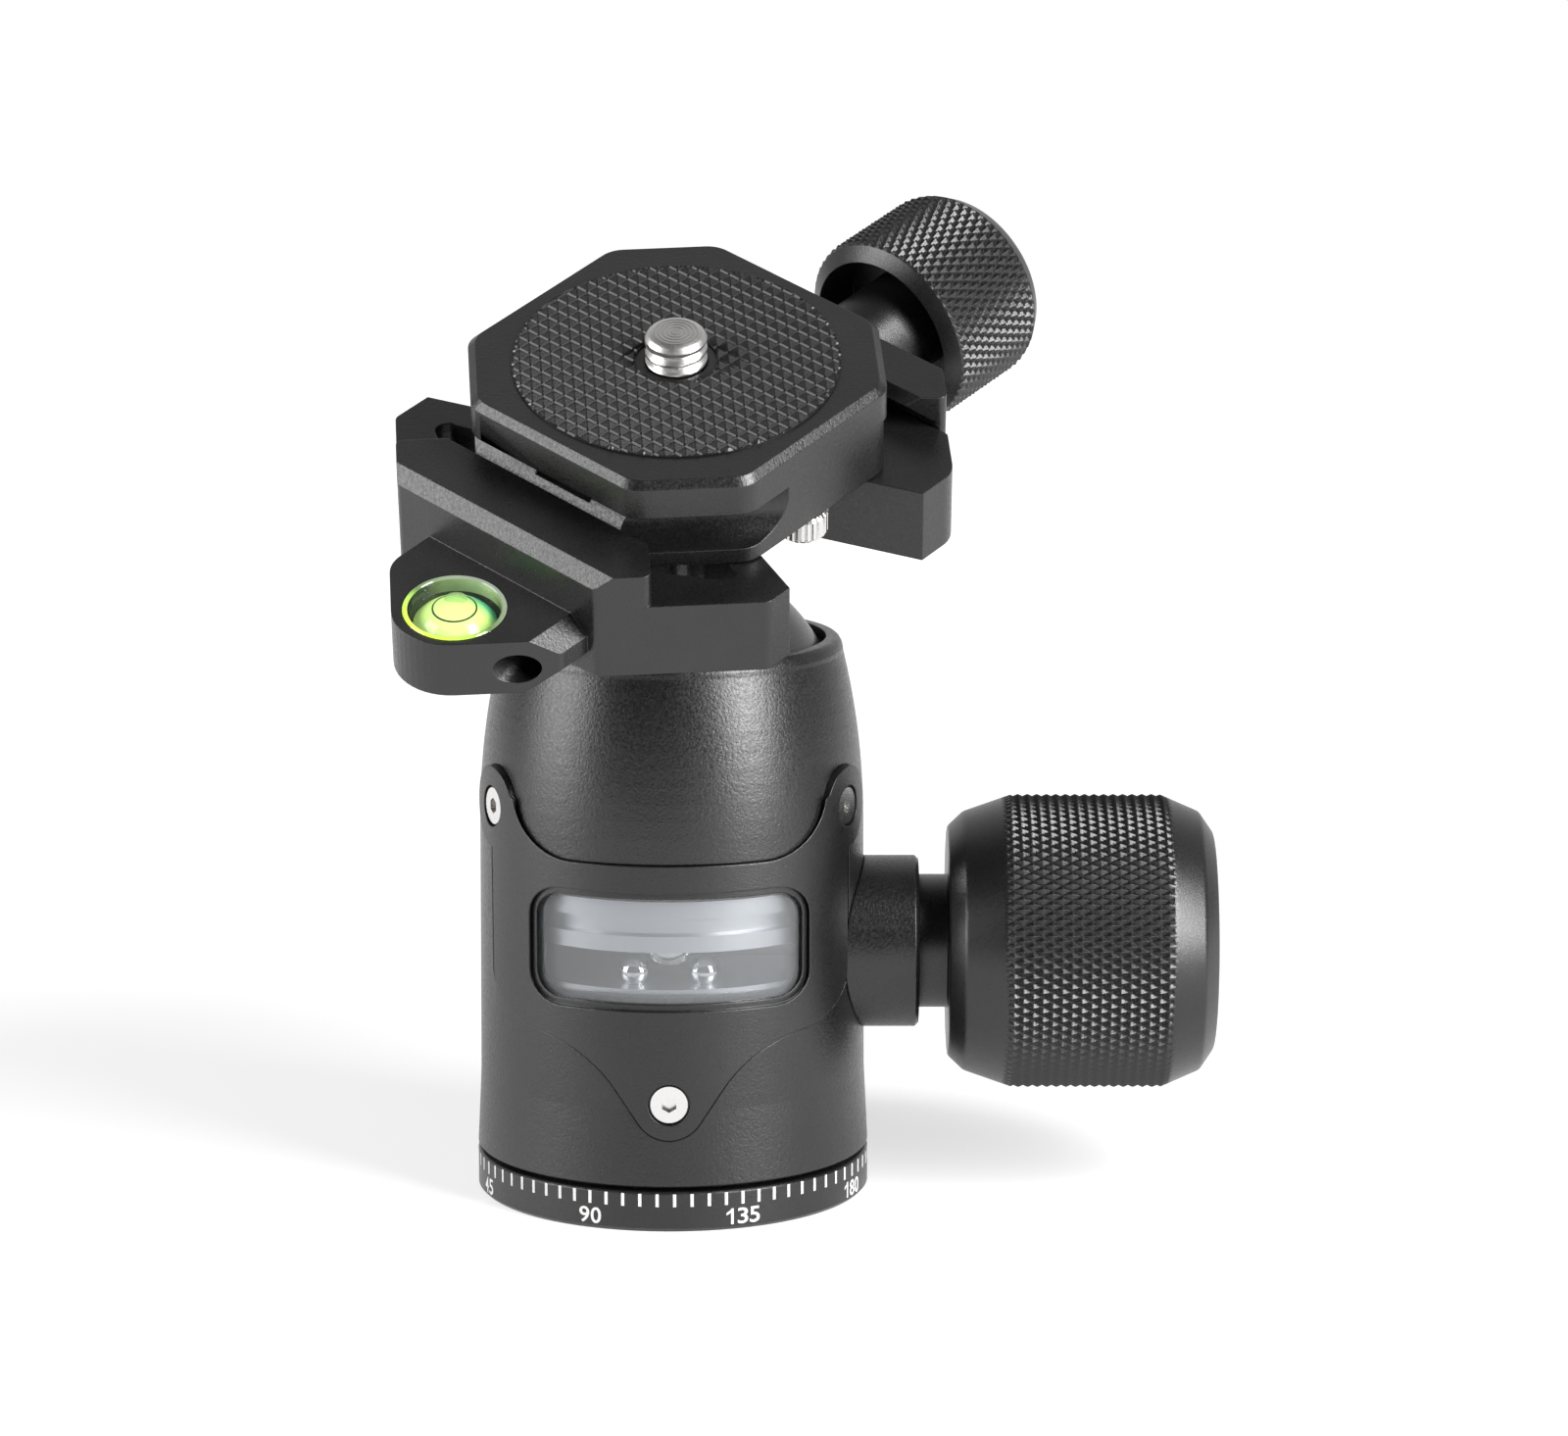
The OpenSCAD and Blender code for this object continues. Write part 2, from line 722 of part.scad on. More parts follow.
// the lug that holds the round level, at the foot of the fixed jaw: its nose is round,
// and its right side stands wider and is chamfered above and below
lug_side = 11.5;
lug_hole_r = 1.75;
lug_hole_at = 8.4;

module level_lug() {
    h = lug_half;
    n = lug_nose;
    flat_left = 2.8;
    flat_right = 2.2;
    top = clamp_z + lug_t;
    intersection() {
        translate([0, 0, clamp_z])
            outline([[-h, 2 - fixed_face], [-h, h - flat_left - n], [-flat_left, -n], [flat_right, -n],
                     [lug_side, lug_side - flat_right - n], [lug_side, 2 - fixed_face]],
                    [0, 4, 6, 6, 1, 0], lug_t);
        rotate([90, 0, 0]) linear_extrude(far)
            polygon([[-far, clamp_z - 1], [lug_side - 3.6, clamp_z - 1], [lug_side, clamp_z + 2.6],
                     [lug_side, top - 1.8], [lug_side - 2.2, top], [lug_side - 3.4, top + 1], [-far, top + 1]]);
    }
}

lug_top = clamp_z + lug_t;
vial_z = lug_top - 4.5;

module clamp_body() color([0.11, 0.11, 0.12]) head() {
    difference() {
        union() {
            translate([0, 0, clamp_z]) floor_plan(clamp_t);
            fixed_jaw();
            level_lug();
        }
        for (side = [-1, 1]) {
            end_notch(side);
            corner_pocket(side);
            translate([side * pin_at, floor_back - 9.8, screw_z])
                rotate([-90, 0, 0]) cylinder(r = pin_r + fit, h = 12);
        }
        translate([0, 0, clamp_z - 1]) cylinder(r = bolt_r + run, h = far);
        translate([0, 0, clamp_floor - 3.1])
            cylinder(r1 = bolt_r + run, r2 = bolt_r + 3 + run, h = 3 + eps);
        translate([0, 0, clamp_floor - 0.1]) cylinder(r = bolt_r + 3 + run, h = 1);
        translate([0, 7, screw_z]) rotate([-90, 0, 0]) cylinder(r = clamp_thread_r, h = far);
        translate([0, -vial_at, vial_z]) cylinder(r = vial_r + fit, h = 10);
        translate([lug_hole_at, -23, clamp_z + 3]) rotate([90, 0, 0]) cylinder(r = lug_hole_r, h = far);
    }
}

module guide_pins() color("silver") head() {
    for (side = [-1, 1])
        translate([side * pin_at, floor_back - 9.5, screw_z])
            rotate([-90, 0, 0]) cylinder(r = pin_r, h = 14);
}

// the round level: a clear cup, its fluid, the bubble and the domed lens
vial_in = vial_r - 0.65;
fluid_top = lug_top - 0.9;
bubble_at = [-0.9, 1.05];
bubble_r = 1.4;

module at_vial() {
    translate([0, -vial_at, 0]) children();
}

module vial_cup() color([0.85, 0.95, 0.7]) head() at_vial() {
    difference() {
        translate([0, 0, vial_z + fit]) cylinder(r = vial_r, h = lug_top + 0.2 - vial_z);
        translate([0, 0, vial_z + 0.7]) cylinder(r = vial_in, h = 10);
    }
}

module bubble_form(grow) {
    intersection() {
        translate([bubble_at[0], bubble_at[1], fluid_top + bubble_r / 2]) sphere(r = bubble_r + grow);
        translate([0, 0, vial_z]) cylinder(r = far, h = fluid_top - vial_z);
    }
}

module vial_fluid() color([0.75, 0.95, 0.2]) head() at_vial() {
    difference() {
        translate([0, 0, vial_z + 0.7 + fit]) cylinder(r = vial_in - fit, h = fluid_top - vial_z - 0.7 - fit);
        translate([0, 0, eps]) bubble_form(fit);
    }
}

module vial_bubble() color("white") head() at_vial() {
    bubble_form(0);
}

module vial_lens() color([0.9, 0.95, 0.9]) head() at_vial() {
    dome_r = 14;
    intersection() {
        translate([0, 0, fluid_top + fit]) cylinder(r = vial_in - fit, h = 3);
        translate([0, 0, lug_top + 0.6 - dome_r]) sphere(r = dome_r, $fn = 180);
    }
}

// ---- moving jaw ----

jaw_back = floor_back + 0.2;

function moving_jaw_section() = let (
    edge = plate_shift + dovetail_half,
    slope_z = plate_z + dovetail_edge,
    tip_z = jaw_top - jaw_tip_drop,
    tip = edge - (tip_z - slope_z) + 0.07
) [
    [moving_face, clamp_z], [moving_face, jaw_top - edge_cut], [moving_face - edge_cut, jaw_top],
    [tip + jaw_tip_drop, jaw_top], [tip, tip_z], [tip + (tip_z - clamp_floor - 0.7), clamp_floor + 0.7],
    [tip + (tip_z - clamp_floor - 0.7), clamp_floor + 0.1], [jaw_back, clamp_floor + 0.1],
    [jaw_back, clamp_z]
];

module moving_jaw() color([0.11, 0.11, 0.12]) head() {
    xb = back_cut - moving_face;
    difference() {
        intersection() {
            translate([-far / 2, 0, 0]) rotate([90, 0, 90]) linear_extrude(far)
                polygon(moving_jaw_section());
            translate([0, 0, clamp_z - 1])
                outline([[-xb, moving_face], [-xb - 5, moving_face - 5], [-xb + 2, moving_face - 11],
                         [xb - 2, moving_face - 11], [xb + 5, moving_face - 5], [xb, moving_face]],
                        [1.2, 0.8, 0, 0, 0.8, 1.2], far / 2);
        }
        translate([0, 0, screw_z]) rotate([-90, 0, 0]) cylinder(r = clamp_thread_r + run, h = far);
        translate([0, 0, screw_z]) rotate([-90, 0, 0]) cylinder(r = clip_r + 0.1, h = jaw_back + clip_t + 0.1);
        for (side = [-1, 1])
            translate([side * pin_at, 0, screw_z]) rotate([-90, 0, 0])
                cylinder(r = pin_r + run, h = moving_face - 1);
    }
}

module jaw_washer() color("silver") head() {
    translate([0, moving_face + fit, screw_z]) rotate([-90, 0, 0]) tube(5.5, clamp_thread_r + run, 0, 0.7);
}

// the clip on the screw that draws the jaw back when the knob is undone
clip_r = 4.6;
clip_t = 0.6;

module jaw_clip() color("gray") head() {
    translate([0, jaw_back + 0.08, screw_z]) rotate([-90, 0, 0]) tube(clip_r, clamp_thread_r, 0, clip_t);
}

clamp_knob_y = moving_face + 7.5;

module clamp_screw() color("silver") head() {
    translate([0, 7.4, screw_z]) rotate([-90, 0, 0])
        cylinder(r = clamp_thread_r - run / 2, h = clamp_knob_y + 2);
}

module clamp_knob() color([0.1, 0.1, 0.1]) head() {
    hub = clamp_knob_y - moving_face - 0.8;
    r = clamp_knob_r;
    len = clamp_knob_len;
    recess = 5;
    translate([0, moving_face + 0.8, screw_z]) rotate([-90, 0, 0]) difference() {
        turned([
            [0, 0], [5.4, 0], [5.4, hub + recess], [r - 2.6, hub + recess], [r - 2, hub],
            [r - 0.4, hub + 1.2], [r, hub + 1.5],
            [r, hub + len - 2.7], [r - 0.35, hub + len - 1.4], [r - 1.4, hub + len], [0, hub + len]
        ]);
        translate([0, 0, -1])
            cylinder(r = clamp_thread_r - run / 2 + fit, h = 9.65 - moving_face + clamp_knob_y);
    }
}

// ---- plate ----

module in_plate() {
    head() translate([plate_at, plate_shift, 0]) children();
}

plate_corner_r = 3;

// plan of the plate: a rectangle with its corners cut at 45 degrees
module plate_plan(cut, inset, h) {
    x = plate_len / 2 - inset;
    y = dovetail_half - inset;
    k = cut - inset * (2 - sqrt(2));
    outline([[-x + k, -y], [x - k, -y], [x, -y + k], [x, y - k], [x - k, y], [-x + k, y], [-x, y - k],
             [-x, -y + k]], [for (i = [0:7]) plate_corner_r], h);
}

module plate_section() {
    d = dovetail_half;
    s = dovetail_slope;
    z1 = plate_z + dovetail_edge;
    right = [[d, plate_z], [d, z1], [d - s, z1 + s], [d - s, flange_z], [d, flange_z], [d, plate_top]];
    polygon(concat(right, [for (i = [5:-1:0]) [-right[i][0], right[i][1]]]));
}

// relief milled under the flange at two opposite corners, down to a ledge
module corner_relief() {
    ledge = plate_z + 1.65;
    curve = 3.4;
    depth = 4.3;
    wall = (plate_len / 2 + dovetail_half - plate_cut) / sqrt(2) - depth;
    intersection() {
        translate([wall, -far / 2, ledge]) cube([far, far, flange_z - ledge]);
        union() {
            translate([wall, -far / 2, ledge + curve]) cube([far, far, far]);
            translate([wall + curve, -far / 2, ledge]) cube([far, far, far]);
            translate([wall + curve, -far / 2, ledge + curve]) rotate([-90, 0, 0]) cylinder(r = curve, h = far);
        }
    }
}

module plate() color([0.12, 0.12, 0.13]) in_plate() {
    edge = 0.75;
    head_room = plate_z + 3.6;
    slot_z = plate_z + 3.2;
    difference() {
        intersection() {
            translate([-far / 2, 0, 0]) rotate([90, 0, 90]) linear_extrude(far) plate_section();
            union() {
                translate([0, 0, plate_z - 1]) plate_plan(plate_cut + 0.4, 0, flange_z - plate_z + 1 + eps);
                translate([0, 0, flange_z]) plate_plan(plate_cut, 0, flange_t - edge);
                hull() {
                    translate([0, 0, plate_top - edge - eps]) plate_plan(plate_cut, 0, eps);
                    translate([0, 0, plate_top - eps]) plate_plan(plate_cut, edge, eps);
                }
            }
        }
        for (a = [-45, 135]) rotate([0, 0, a]) corner_relief();
        cylinder(r = camera_screw_r + 0.07, h = far);
        translate([0, 0, plate_z - 1]) cylinder(r = camera_screw_r + 3.4, h = head_room - plate_z + 1);
        for (side = [-1, 1]) {
            translate([side * stop_at, 0, plate_z - 1]) cylinder(r = 1.5 + fit, h = 6);
            translate([-4.3, side * dovetail_half - 4.4, slot_z])
                cube([7.4, 8.8, flange_z - slot_z]);
        }
    }
}

module pad() color([0.06, 0.06, 0.06]) in_plate() {
    tube(pad_r, camera_screw_r + 1, plate_top, plate_top + pad_t);
}

// knurled stop screws that keep the plate from sliding out of the clamp
module stop_screws() color("silver") in_plate() {
    for (side = [-1, 1]) translate([side * stop_at, 0, 0]) difference() {
        union() {
            translate([0, 0, plate_z - 3]) cylinder(r = 2.6, h = 3 - fit);
            translate([0, 0, plate_z - 1]) cylinder(r = 1.5, h = 5.5);
        }
        translate([0, 0, plate_z - 3]) mirror([0, 0, 1]) hex_socket(2.5, 1.6);
    }
}

screw_neck_r = 2.5;

module camera_screw() color("silver") in_plate() {
    top = plate_top + camera_screw_out;
    r = camera_screw_r;
    neck_top = plate_top + pad_t + 0.2;
    difference() {
        turned([
            [0, plate_z + 0.3], [r + 3.1, plate_z + 0.3], [r + 3.1, plate_z + 2.7], [screw_neck_r, plate_z + 2.7],
            [screw_neck_r, neck_top], [r, neck_top], [r, top - 0.7], [r - 0.3, top - 0.25],
            [r - 0.9, top], [0, top]
        ]);
        translate([-far / 2, -0.7, plate_z - 1]) cube([far, 1.4, 2.3]);
    }
}

module screw_clip() color("gray") in_plate() {
    tube(camera_screw_r + 2.6, screw_neck_r + 0.05, plate_z + 2.8, plate_z + 3.5);
}

pan_ring();
thread_insert();
pan_screws();
pan_spindle();
nut_washer();
pan_nut();
housing();
housing_floor();
pan_washer();
window_bezel();
window_lens();
bezel_screws();
cell_ring();
cell_balls();
lock_collar();
pan_lock_shoe();
pan_lock_screw();
pan_lock_knob();
lock_cone();
lock_shaft();
lock_knob();
pressure_cup();
cup_liner();
cell_domes();
lift_pin();
seat_ring();
ball_stem();
clamp_bolt();
clamp_body();
guide_pins();
vial_cup();
vial_fluid();
vial_bubble();
vial_lens();
moving_jaw();
jaw_washer();
jaw_clip();
clamp_screw();
clamp_knob();
plate();
pad();
stop_screws();
camera_screw();
screw_clip();
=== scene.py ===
from math import atan2, cos, pi, radians, sin, sqrt

import bmesh
import bpy
from mathutils import Matrix, Vector


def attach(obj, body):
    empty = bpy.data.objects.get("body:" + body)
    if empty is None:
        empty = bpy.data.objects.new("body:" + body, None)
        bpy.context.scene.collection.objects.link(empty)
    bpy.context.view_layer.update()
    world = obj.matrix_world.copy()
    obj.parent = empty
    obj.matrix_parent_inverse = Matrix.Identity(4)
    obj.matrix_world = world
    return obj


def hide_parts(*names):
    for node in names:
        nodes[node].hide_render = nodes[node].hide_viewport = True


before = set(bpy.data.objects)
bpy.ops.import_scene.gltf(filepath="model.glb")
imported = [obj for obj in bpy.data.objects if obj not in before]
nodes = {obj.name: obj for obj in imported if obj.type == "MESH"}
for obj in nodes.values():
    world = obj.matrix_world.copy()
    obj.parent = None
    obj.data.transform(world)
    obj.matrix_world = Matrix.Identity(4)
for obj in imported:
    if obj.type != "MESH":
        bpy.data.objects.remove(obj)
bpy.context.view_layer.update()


# ---- Base ring ----
# The ring that the head pans on: turned aluminium, blasted and black anodised,
# with a chamfered top edge under the housing. Three countersunk screws hold it.
MM = 0.001
STAND = Matrix.Scale(MM, 4)
DYE = (0.006, 0.006, 0.0064)
PIT_DEPTH, GLOSS_SPREAD = 0.06, 0.09
CRISP_ANGLE = 25


def anodised(name, colour, roughness, grain=0.7, grain_size=0.3, edge=0.2):
    """Blasted and dyed aluminium: fine pits that sparkle, cloudy dye, and edges broken by the blasting."""
    material = bpy.data.materials.new(name)
    material.use_nodes = True
    tree = material.node_tree
    shader = tree.nodes["Principled BSDF"]
    where = tree.nodes.new("ShaderNodeTexCoord")

    clouds = tree.nodes.new("ShaderNodeTexNoise")
    clouds.inputs["Scale"].default_value = 220
    clouds.inputs["Detail"].default_value = 5
    tree.links.new(where.outputs["Object"], clouds.inputs["Vector"])
    tint = tree.nodes.new("ShaderNodeValToRGB")
    tint.color_ramp.elements[0].position = 0.3
    tint.color_ramp.elements[0].color = [c * 0.8 for c in colour] + [1]
    tint.color_ramp.elements[1].position = 0.75
    tint.color_ramp.elements[1].color = [c * 1.2 for c in colour] + [1]
    tree.links.new(clouds.outputs["Fac"], tint.inputs["Fac"])
    tree.links.new(tint.outputs["Color"], shader.inputs["Base Color"])

    pits = tree.nodes.new("ShaderNodeTexNoise")
    pits.inputs["Scale"].default_value = 1 / (grain_size * MM)
    pits.inputs["Detail"].default_value = 2.5
    pits.inputs["Roughness"].default_value = 0.6
    tree.links.new(where.outputs["Object"], pits.inputs["Vector"])
    gloss = tree.nodes.new("ShaderNodeMapRange")
    gloss.inputs["From Min"].default_value = 0.3
    gloss.inputs["From Max"].default_value = 0.7
    gloss.inputs["To Min"].default_value = roughness - GLOSS_SPREAD
    gloss.inputs["To Max"].default_value = roughness + GLOSS_SPREAD
    tree.links.new(pits.outputs["Fac"], gloss.inputs["Value"])
    tree.links.new(gloss.outputs["Result"], shader.inputs["Roughness"])
    bump = tree.nodes.new("ShaderNodeBump")
    bump.inputs["Strength"].default_value = grain
    bump.inputs["Distance"].default_value = PIT_DEPTH * MM
    tree.links.new(pits.outputs["Fac"], bump.inputs["Height"])
    broken = tree.nodes.new("ShaderNodeBevel")
    broken.samples = 6
    broken.inputs["Radius"].default_value = edge * MM
    tree.links.new(broken.outputs["Normal"], bump.inputs["Normal"])
    tree.links.new(bump.outputs["Normal"], shader.inputs["Normal"])
    shader.inputs["Specular IOR Level"].default_value = 0.6
    return material


def machined(names, material):
    """Gives milled or turned solids their material, with smooth curves and crisp edges."""
    for name in names:
        mesh = nodes[name].data
        mesh.materials.clear()
        mesh.materials.append(material)
        mesh.shade_smooth()
        mesh.set_sharp_from_angle(angle=radians(CRISP_ANGLE))


black = anodised("black_anodised", DYE, 0.34, grain=0.6, grain_size=0.2)
machined(["pan_ring"], black)


# ---- Degree scale ----
# White marks every 5 degrees round the base ring, and numbers every 45 degrees.
# They are laser marked on the real ring, so they lie almost flush in it.
RING_R = 21.0
MARK_PROUD = 0.02
TICK_STEP, TICK_WIDTH = 5, 0.34
TICK_FROM, TICK_TO = 2.75, 4.12
MARK_SUNK = 0.3
NUMBER_STEP = 45
NUMBER_DEPTH = 0.16
NUMBER_HEIGHT = 1.72
NUMBER_Z = 0.62
DIGIT_STEP, DIGIT_WIDTH = 1.34, 1.16
STROKE, FATTER, CAPITAL = 0.29, 0.03, 0.70
SCALE_ZERO = -113.5


def marking(name, colour):
    """Dead white laser marking, a little uneven."""
    material = bpy.data.materials.new(name)
    material.use_nodes = True
    tree = material.node_tree
    shader = tree.nodes["Principled BSDF"]
    speckle = tree.nodes.new("ShaderNodeTexNoise")
    speckle.inputs["Scale"].default_value = 6000
    where = tree.nodes.new("ShaderNodeTexCoord")
    tree.links.new(where.outputs["Object"], speckle.inputs["Vector"])
    tint = tree.nodes.new("ShaderNodeValToRGB")
    tint.color_ramp.elements[0].color = [c * 0.8 for c in colour] + [1]
    tint.color_ramp.elements[1].color = list(colour) + [1]
    tree.links.new(speckle.outputs["Fac"], tint.inputs["Fac"])
    tree.links.new(tint.outputs["Color"], shader.inputs["Base Color"])
    shader.inputs["Roughness"].default_value = 0.6
    return material


def round_ring(azimuth, r, z):
    """A point on the ring, the angle counted from the front towards +X."""
    a = radians(azimuth)
    return Vector((r * sin(a), -r * cos(a), z))


def finished(name, bm, material, place=STAND, sharp=30):
    """Turns a mesh built in millimetres into a piece in its place."""
    bmesh.ops.transform(bm, matrix=place, verts=bm.verts)
    bmesh.ops.recalc_face_normals(bm, faces=bm.faces)
    mesh = bpy.data.meshes.new(name)
    bm.to_mesh(mesh)
    bm.free()
    mesh.shade_smooth()
    mesh.set_sharp_from_angle(angle=radians(sharp))
    mesh.materials.append(material)
    piece = bpy.data.objects.new(name, mesh)
    bpy.context.scene.collection.objects.link(piece)
    return piece


def scale_ticks(bm):
    """One small bent bar for each mark of the scale."""
    for turned in range(0, 360, TICK_STEP):
        azimuth = SCALE_ZERO + turned
        half = TICK_WIDTH / 2 / RING_R * 180 / pi
        corners = []
        for r in (RING_R - MARK_SUNK, RING_R + MARK_PROUD):
            for side, z in ((-half, TICK_FROM), (half, TICK_FROM), (half, TICK_TO), (-half, TICK_TO)):
                corners.append(bm.verts.new(round_ring(azimuth + side, r, z)))
        bm.faces.new(corners[4:])
        bm.faces.new(corners[3::-1])
        for i in range(4):
            j = (i + 1) % 4
            bm.faces.new((corners[i], corners[j], corners[j + 4], corners[i + 4]))


def plain_one(bm):
    """The figure 1, with its flag, as a flat outline in millimetres."""
    right, top = 0.3, NUMBER_HEIGHT
    left = right - STROKE
    outline = ((left, 0), (right, 0), (right, top), (right - 0.22, top), (right - 0.38, top - 0.22),
               (right - 0.78, top - 0.46), (right - 0.78, top - 0.74), (left, top - 0.46))
    front = [bm.verts.new((x, y, NUMBER_DEPTH)) for x, y in outline]
    back = [bm.verts.new((x, y, -NUMBER_DEPTH)) for x, y in outline]
    bm.faces.new(front)
    bm.faces.new(back[::-1])
    for i in range(len(outline)):
        j = (i + 1) % len(outline)
        bm.faces.new((back[i], back[j], front[j], front[i]))


def drawn_digit(bm, digit):
    """Any other figure, drawn to the marking's height and width."""
    curve = bpy.data.curves.new("number", "FONT")
    curve.body = digit
    curve.size = NUMBER_HEIGHT / CAPITAL
    curve.offset = FATTER
    curve.extrude = NUMBER_DEPTH
    curve.resolution_u = 6
    sample = bpy.data.objects.new("number", curve)
    bpy.context.scene.collection.objects.link(sample)
    bpy.context.view_layer.update()
    shape = bpy.data.meshes.new_from_object(sample.evaluated_get(bpy.context.evaluated_depsgraph_get()))
    xs, ys = [v.co.x for v in shape.vertices], [v.co.y for v in shape.vertices]
    wide = DIGIT_WIDTH / (max(xs) - min(xs))
    tall = NUMBER_HEIGHT / (max(ys) - min(ys))
    for vertex in shape.vertices:
        vertex.co.x = (vertex.co.x - (max(xs) + min(xs)) / 2) * wide
        vertex.co.y = (vertex.co.y - min(ys)) * tall
    bm.from_mesh(shape)
    bpy.data.objects.remove(sample)
    bpy.data.curves.remove(curve)
    bpy.data.meshes.remove(shape)


def scale_number(bm, value, azimuth):
    """One number of the scale, bent round the ring."""
    digits = str(value)
    for place, digit in enumerate(digits):
        flat = bmesh.new()
        if digit == "1":
            plain_one(flat)
        else:
            drawn_digit(flat, digit)
        for vertex in flat.verts:
            x = vertex.co.x + (place - (len(digits) - 1) / 2) * DIGIT_STEP
            r = RING_R + MARK_PROUD - NUMBER_DEPTH + vertex.co.z
            vertex.co = round_ring(azimuth + x / RING_R * 180 / pi, r, NUMBER_Z + vertex.co.y)
        bent = bpy.data.meshes.new("number")
        flat.to_mesh(bent)
        flat.free()
        bm.from_mesh(bent)
        bpy.data.meshes.remove(bent)


white_mark = marking("white_marking", (0.78, 0.78, 0.77))
bm = bmesh.new()
scale_ticks(bm)
for value in range(0, 360, NUMBER_STEP):
    scale_number(bm, value, SCALE_ZERO + value)
scale = finished("degree_scale", bm, white_mark)
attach(scale, "pan_base")


# ---- Housing ----
# The body: one turned aluminium shell, bored from below, blasted and anodised.
# A shallow recess takes the bezel, and the shoulder draws in to the rim round the ball.
housing_black = anodised("housing_anodised", DYE, 0.34, grain=0.7)
machined(["housing", "lock_collar"], housing_black)


# ---- Window bezel ----
# A curved aluminium frame let into the housing over the window, with two ears and
# a tab that take its three screws. It is milled and anodised like the housing.
machined(["window_bezel"], black)


# ---- Window ----
# The clear window moulded to the housing's curve. It is faintly smoked and hazy,
# so what lies behind it looks pale.
def clear_shell(name, colour, veil, veil_colour, roughness=0.05):
    """Clear moulded plastic: what lies behind it shows through a thin veil of haze."""
    material = bpy.data.materials.new(name)
    material.use_nodes = True
    tree = material.node_tree
    tree.nodes.remove(tree.nodes["Principled BSDF"])
    out = tree.nodes["Material Output"]
    clear = tree.nodes.new("ShaderNodeBsdfTransparent")
    clear.inputs["Color"].default_value = (*colour, 1)
    milk = tree.nodes.new("ShaderNodeBsdfDiffuse")
    noise = tree.nodes.new("ShaderNodeTexNoise")
    noise.inputs["Scale"].default_value = 900
    where = tree.nodes.new("ShaderNodeTexCoord")
    tree.links.new(where.outputs["Object"], noise.inputs["Vector"])
    tint = tree.nodes.new("ShaderNodeValToRGB")
    tint.color_ramp.elements[0].color = [c * 0.92 for c in veil_colour] + [1]
    tint.color_ramp.elements[1].color = [c * 1.08 for c in veil_colour] + [1]
    tree.links.new(noise.outputs["Fac"], tint.inputs["Fac"])
    tree.links.new(tint.outputs["Color"], milk.inputs["Color"])
    hazed = tree.nodes.new("ShaderNodeMixShader")
    hazed.inputs["Fac"].default_value = veil
    tree.links.new(clear.outputs[0], hazed.inputs[1])
    tree.links.new(milk.outputs[0], hazed.inputs[2])
    gloss = tree.nodes.new("ShaderNodeBsdfGlossy")
    gloss.inputs["Roughness"].default_value = roughness
    facing = tree.nodes.new("ShaderNodeLayerWeight")
    steep = tree.nodes.new("ShaderNodeMath")
    steep.operation = "POWER"
    steep.inputs[1].default_value = 5
    tree.links.new(facing.outputs["Facing"], steep.inputs[0])
    skin = tree.nodes.new("ShaderNodeMath")
    skin.operation = "MULTIPLY_ADD"
    skin.inputs[1].default_value = 0.9
    skin.inputs[2].default_value = 0.04
    tree.links.new(steep.outputs[0], skin.inputs[0])
    coated = tree.nodes.new("ShaderNodeMixShader")
    tree.links.new(skin.outputs[0], coated.inputs["Fac"])
    tree.links.new(hazed.outputs[0], coated.inputs[1])
    tree.links.new(gloss.outputs[0], coated.inputs[2])
    tree.links.new(coated.outputs[0], out.inputs["Surface"])
    return material


hazy_window = clear_shell("hazy_window", (0.93, 0.94, 0.95), 0.24, (0.30, 0.31, 0.32))
machined(["window_lens"], hazy_window)


# ---- Steel fasteners and shafts ----
# Stainless screws, washers, pins and shafts, turned bright. The bezel's screws are
# button heads with hexagon sockets.
def turned_steel(name, colour, roughness):
    """Bright turned metal, with faint tool lines and fine scratches."""
    material = bpy.data.materials.new(name)
    material.use_nodes = True
    tree = material.node_tree
    shader = tree.nodes["Principled BSDF"]
    shader.inputs["Metallic"].default_value = 1
    where = tree.nodes.new("ShaderNodeTexCoord")
    lines = tree.nodes.new("ShaderNodeTexNoise")
    lines.inputs["Scale"].default_value = 3500
    lines.inputs["Detail"].default_value = 4
    tree.links.new(where.outputs["Object"], lines.inputs["Vector"])
    tint = tree.nodes.new("ShaderNodeValToRGB")
    tint.color_ramp.elements[0].color = [c * 0.88 for c in colour] + [1]
    tint.color_ramp.elements[1].color = list(colour) + [1]
    tree.links.new(lines.outputs["Fac"], tint.inputs["Fac"])
    tree.links.new(tint.outputs["Color"], shader.inputs["Base Color"])
    gloss = tree.nodes.new("ShaderNodeMapRange")
    gloss.inputs["To Min"].default_value = max(roughness - 0.06, 0.02)
    gloss.inputs["To Max"].default_value = roughness + 0.08
    tree.links.new(lines.outputs["Fac"], gloss.inputs["Value"])
    tree.links.new(gloss.outputs["Result"], shader.inputs["Roughness"])
    bump = tree.nodes.new("ShaderNodeBump")
    bump.inputs["Strength"].default_value = 0.08
    bump.inputs["Distance"].default_value = 0.01 * MM
    tree.links.new(lines.outputs["Fac"], bump.inputs["Height"])
    tree.links.new(bump.outputs["Normal"], shader.inputs["Normal"])
    return material


steel = turned_steel("stainless_steel", (0.74, 0.73, 0.72), 0.22)
machined(["bezel_screws", "pan_screws", "clamp_bolt", "pan_spindle", "nut_washer", "pan_nut", "lock_cone",
          "lock_shaft", "pan_lock_screw", "lift_pin", "guide_pins", "clamp_screw", "jaw_washer", "jaw_clip",
          "screw_clip"], steel)


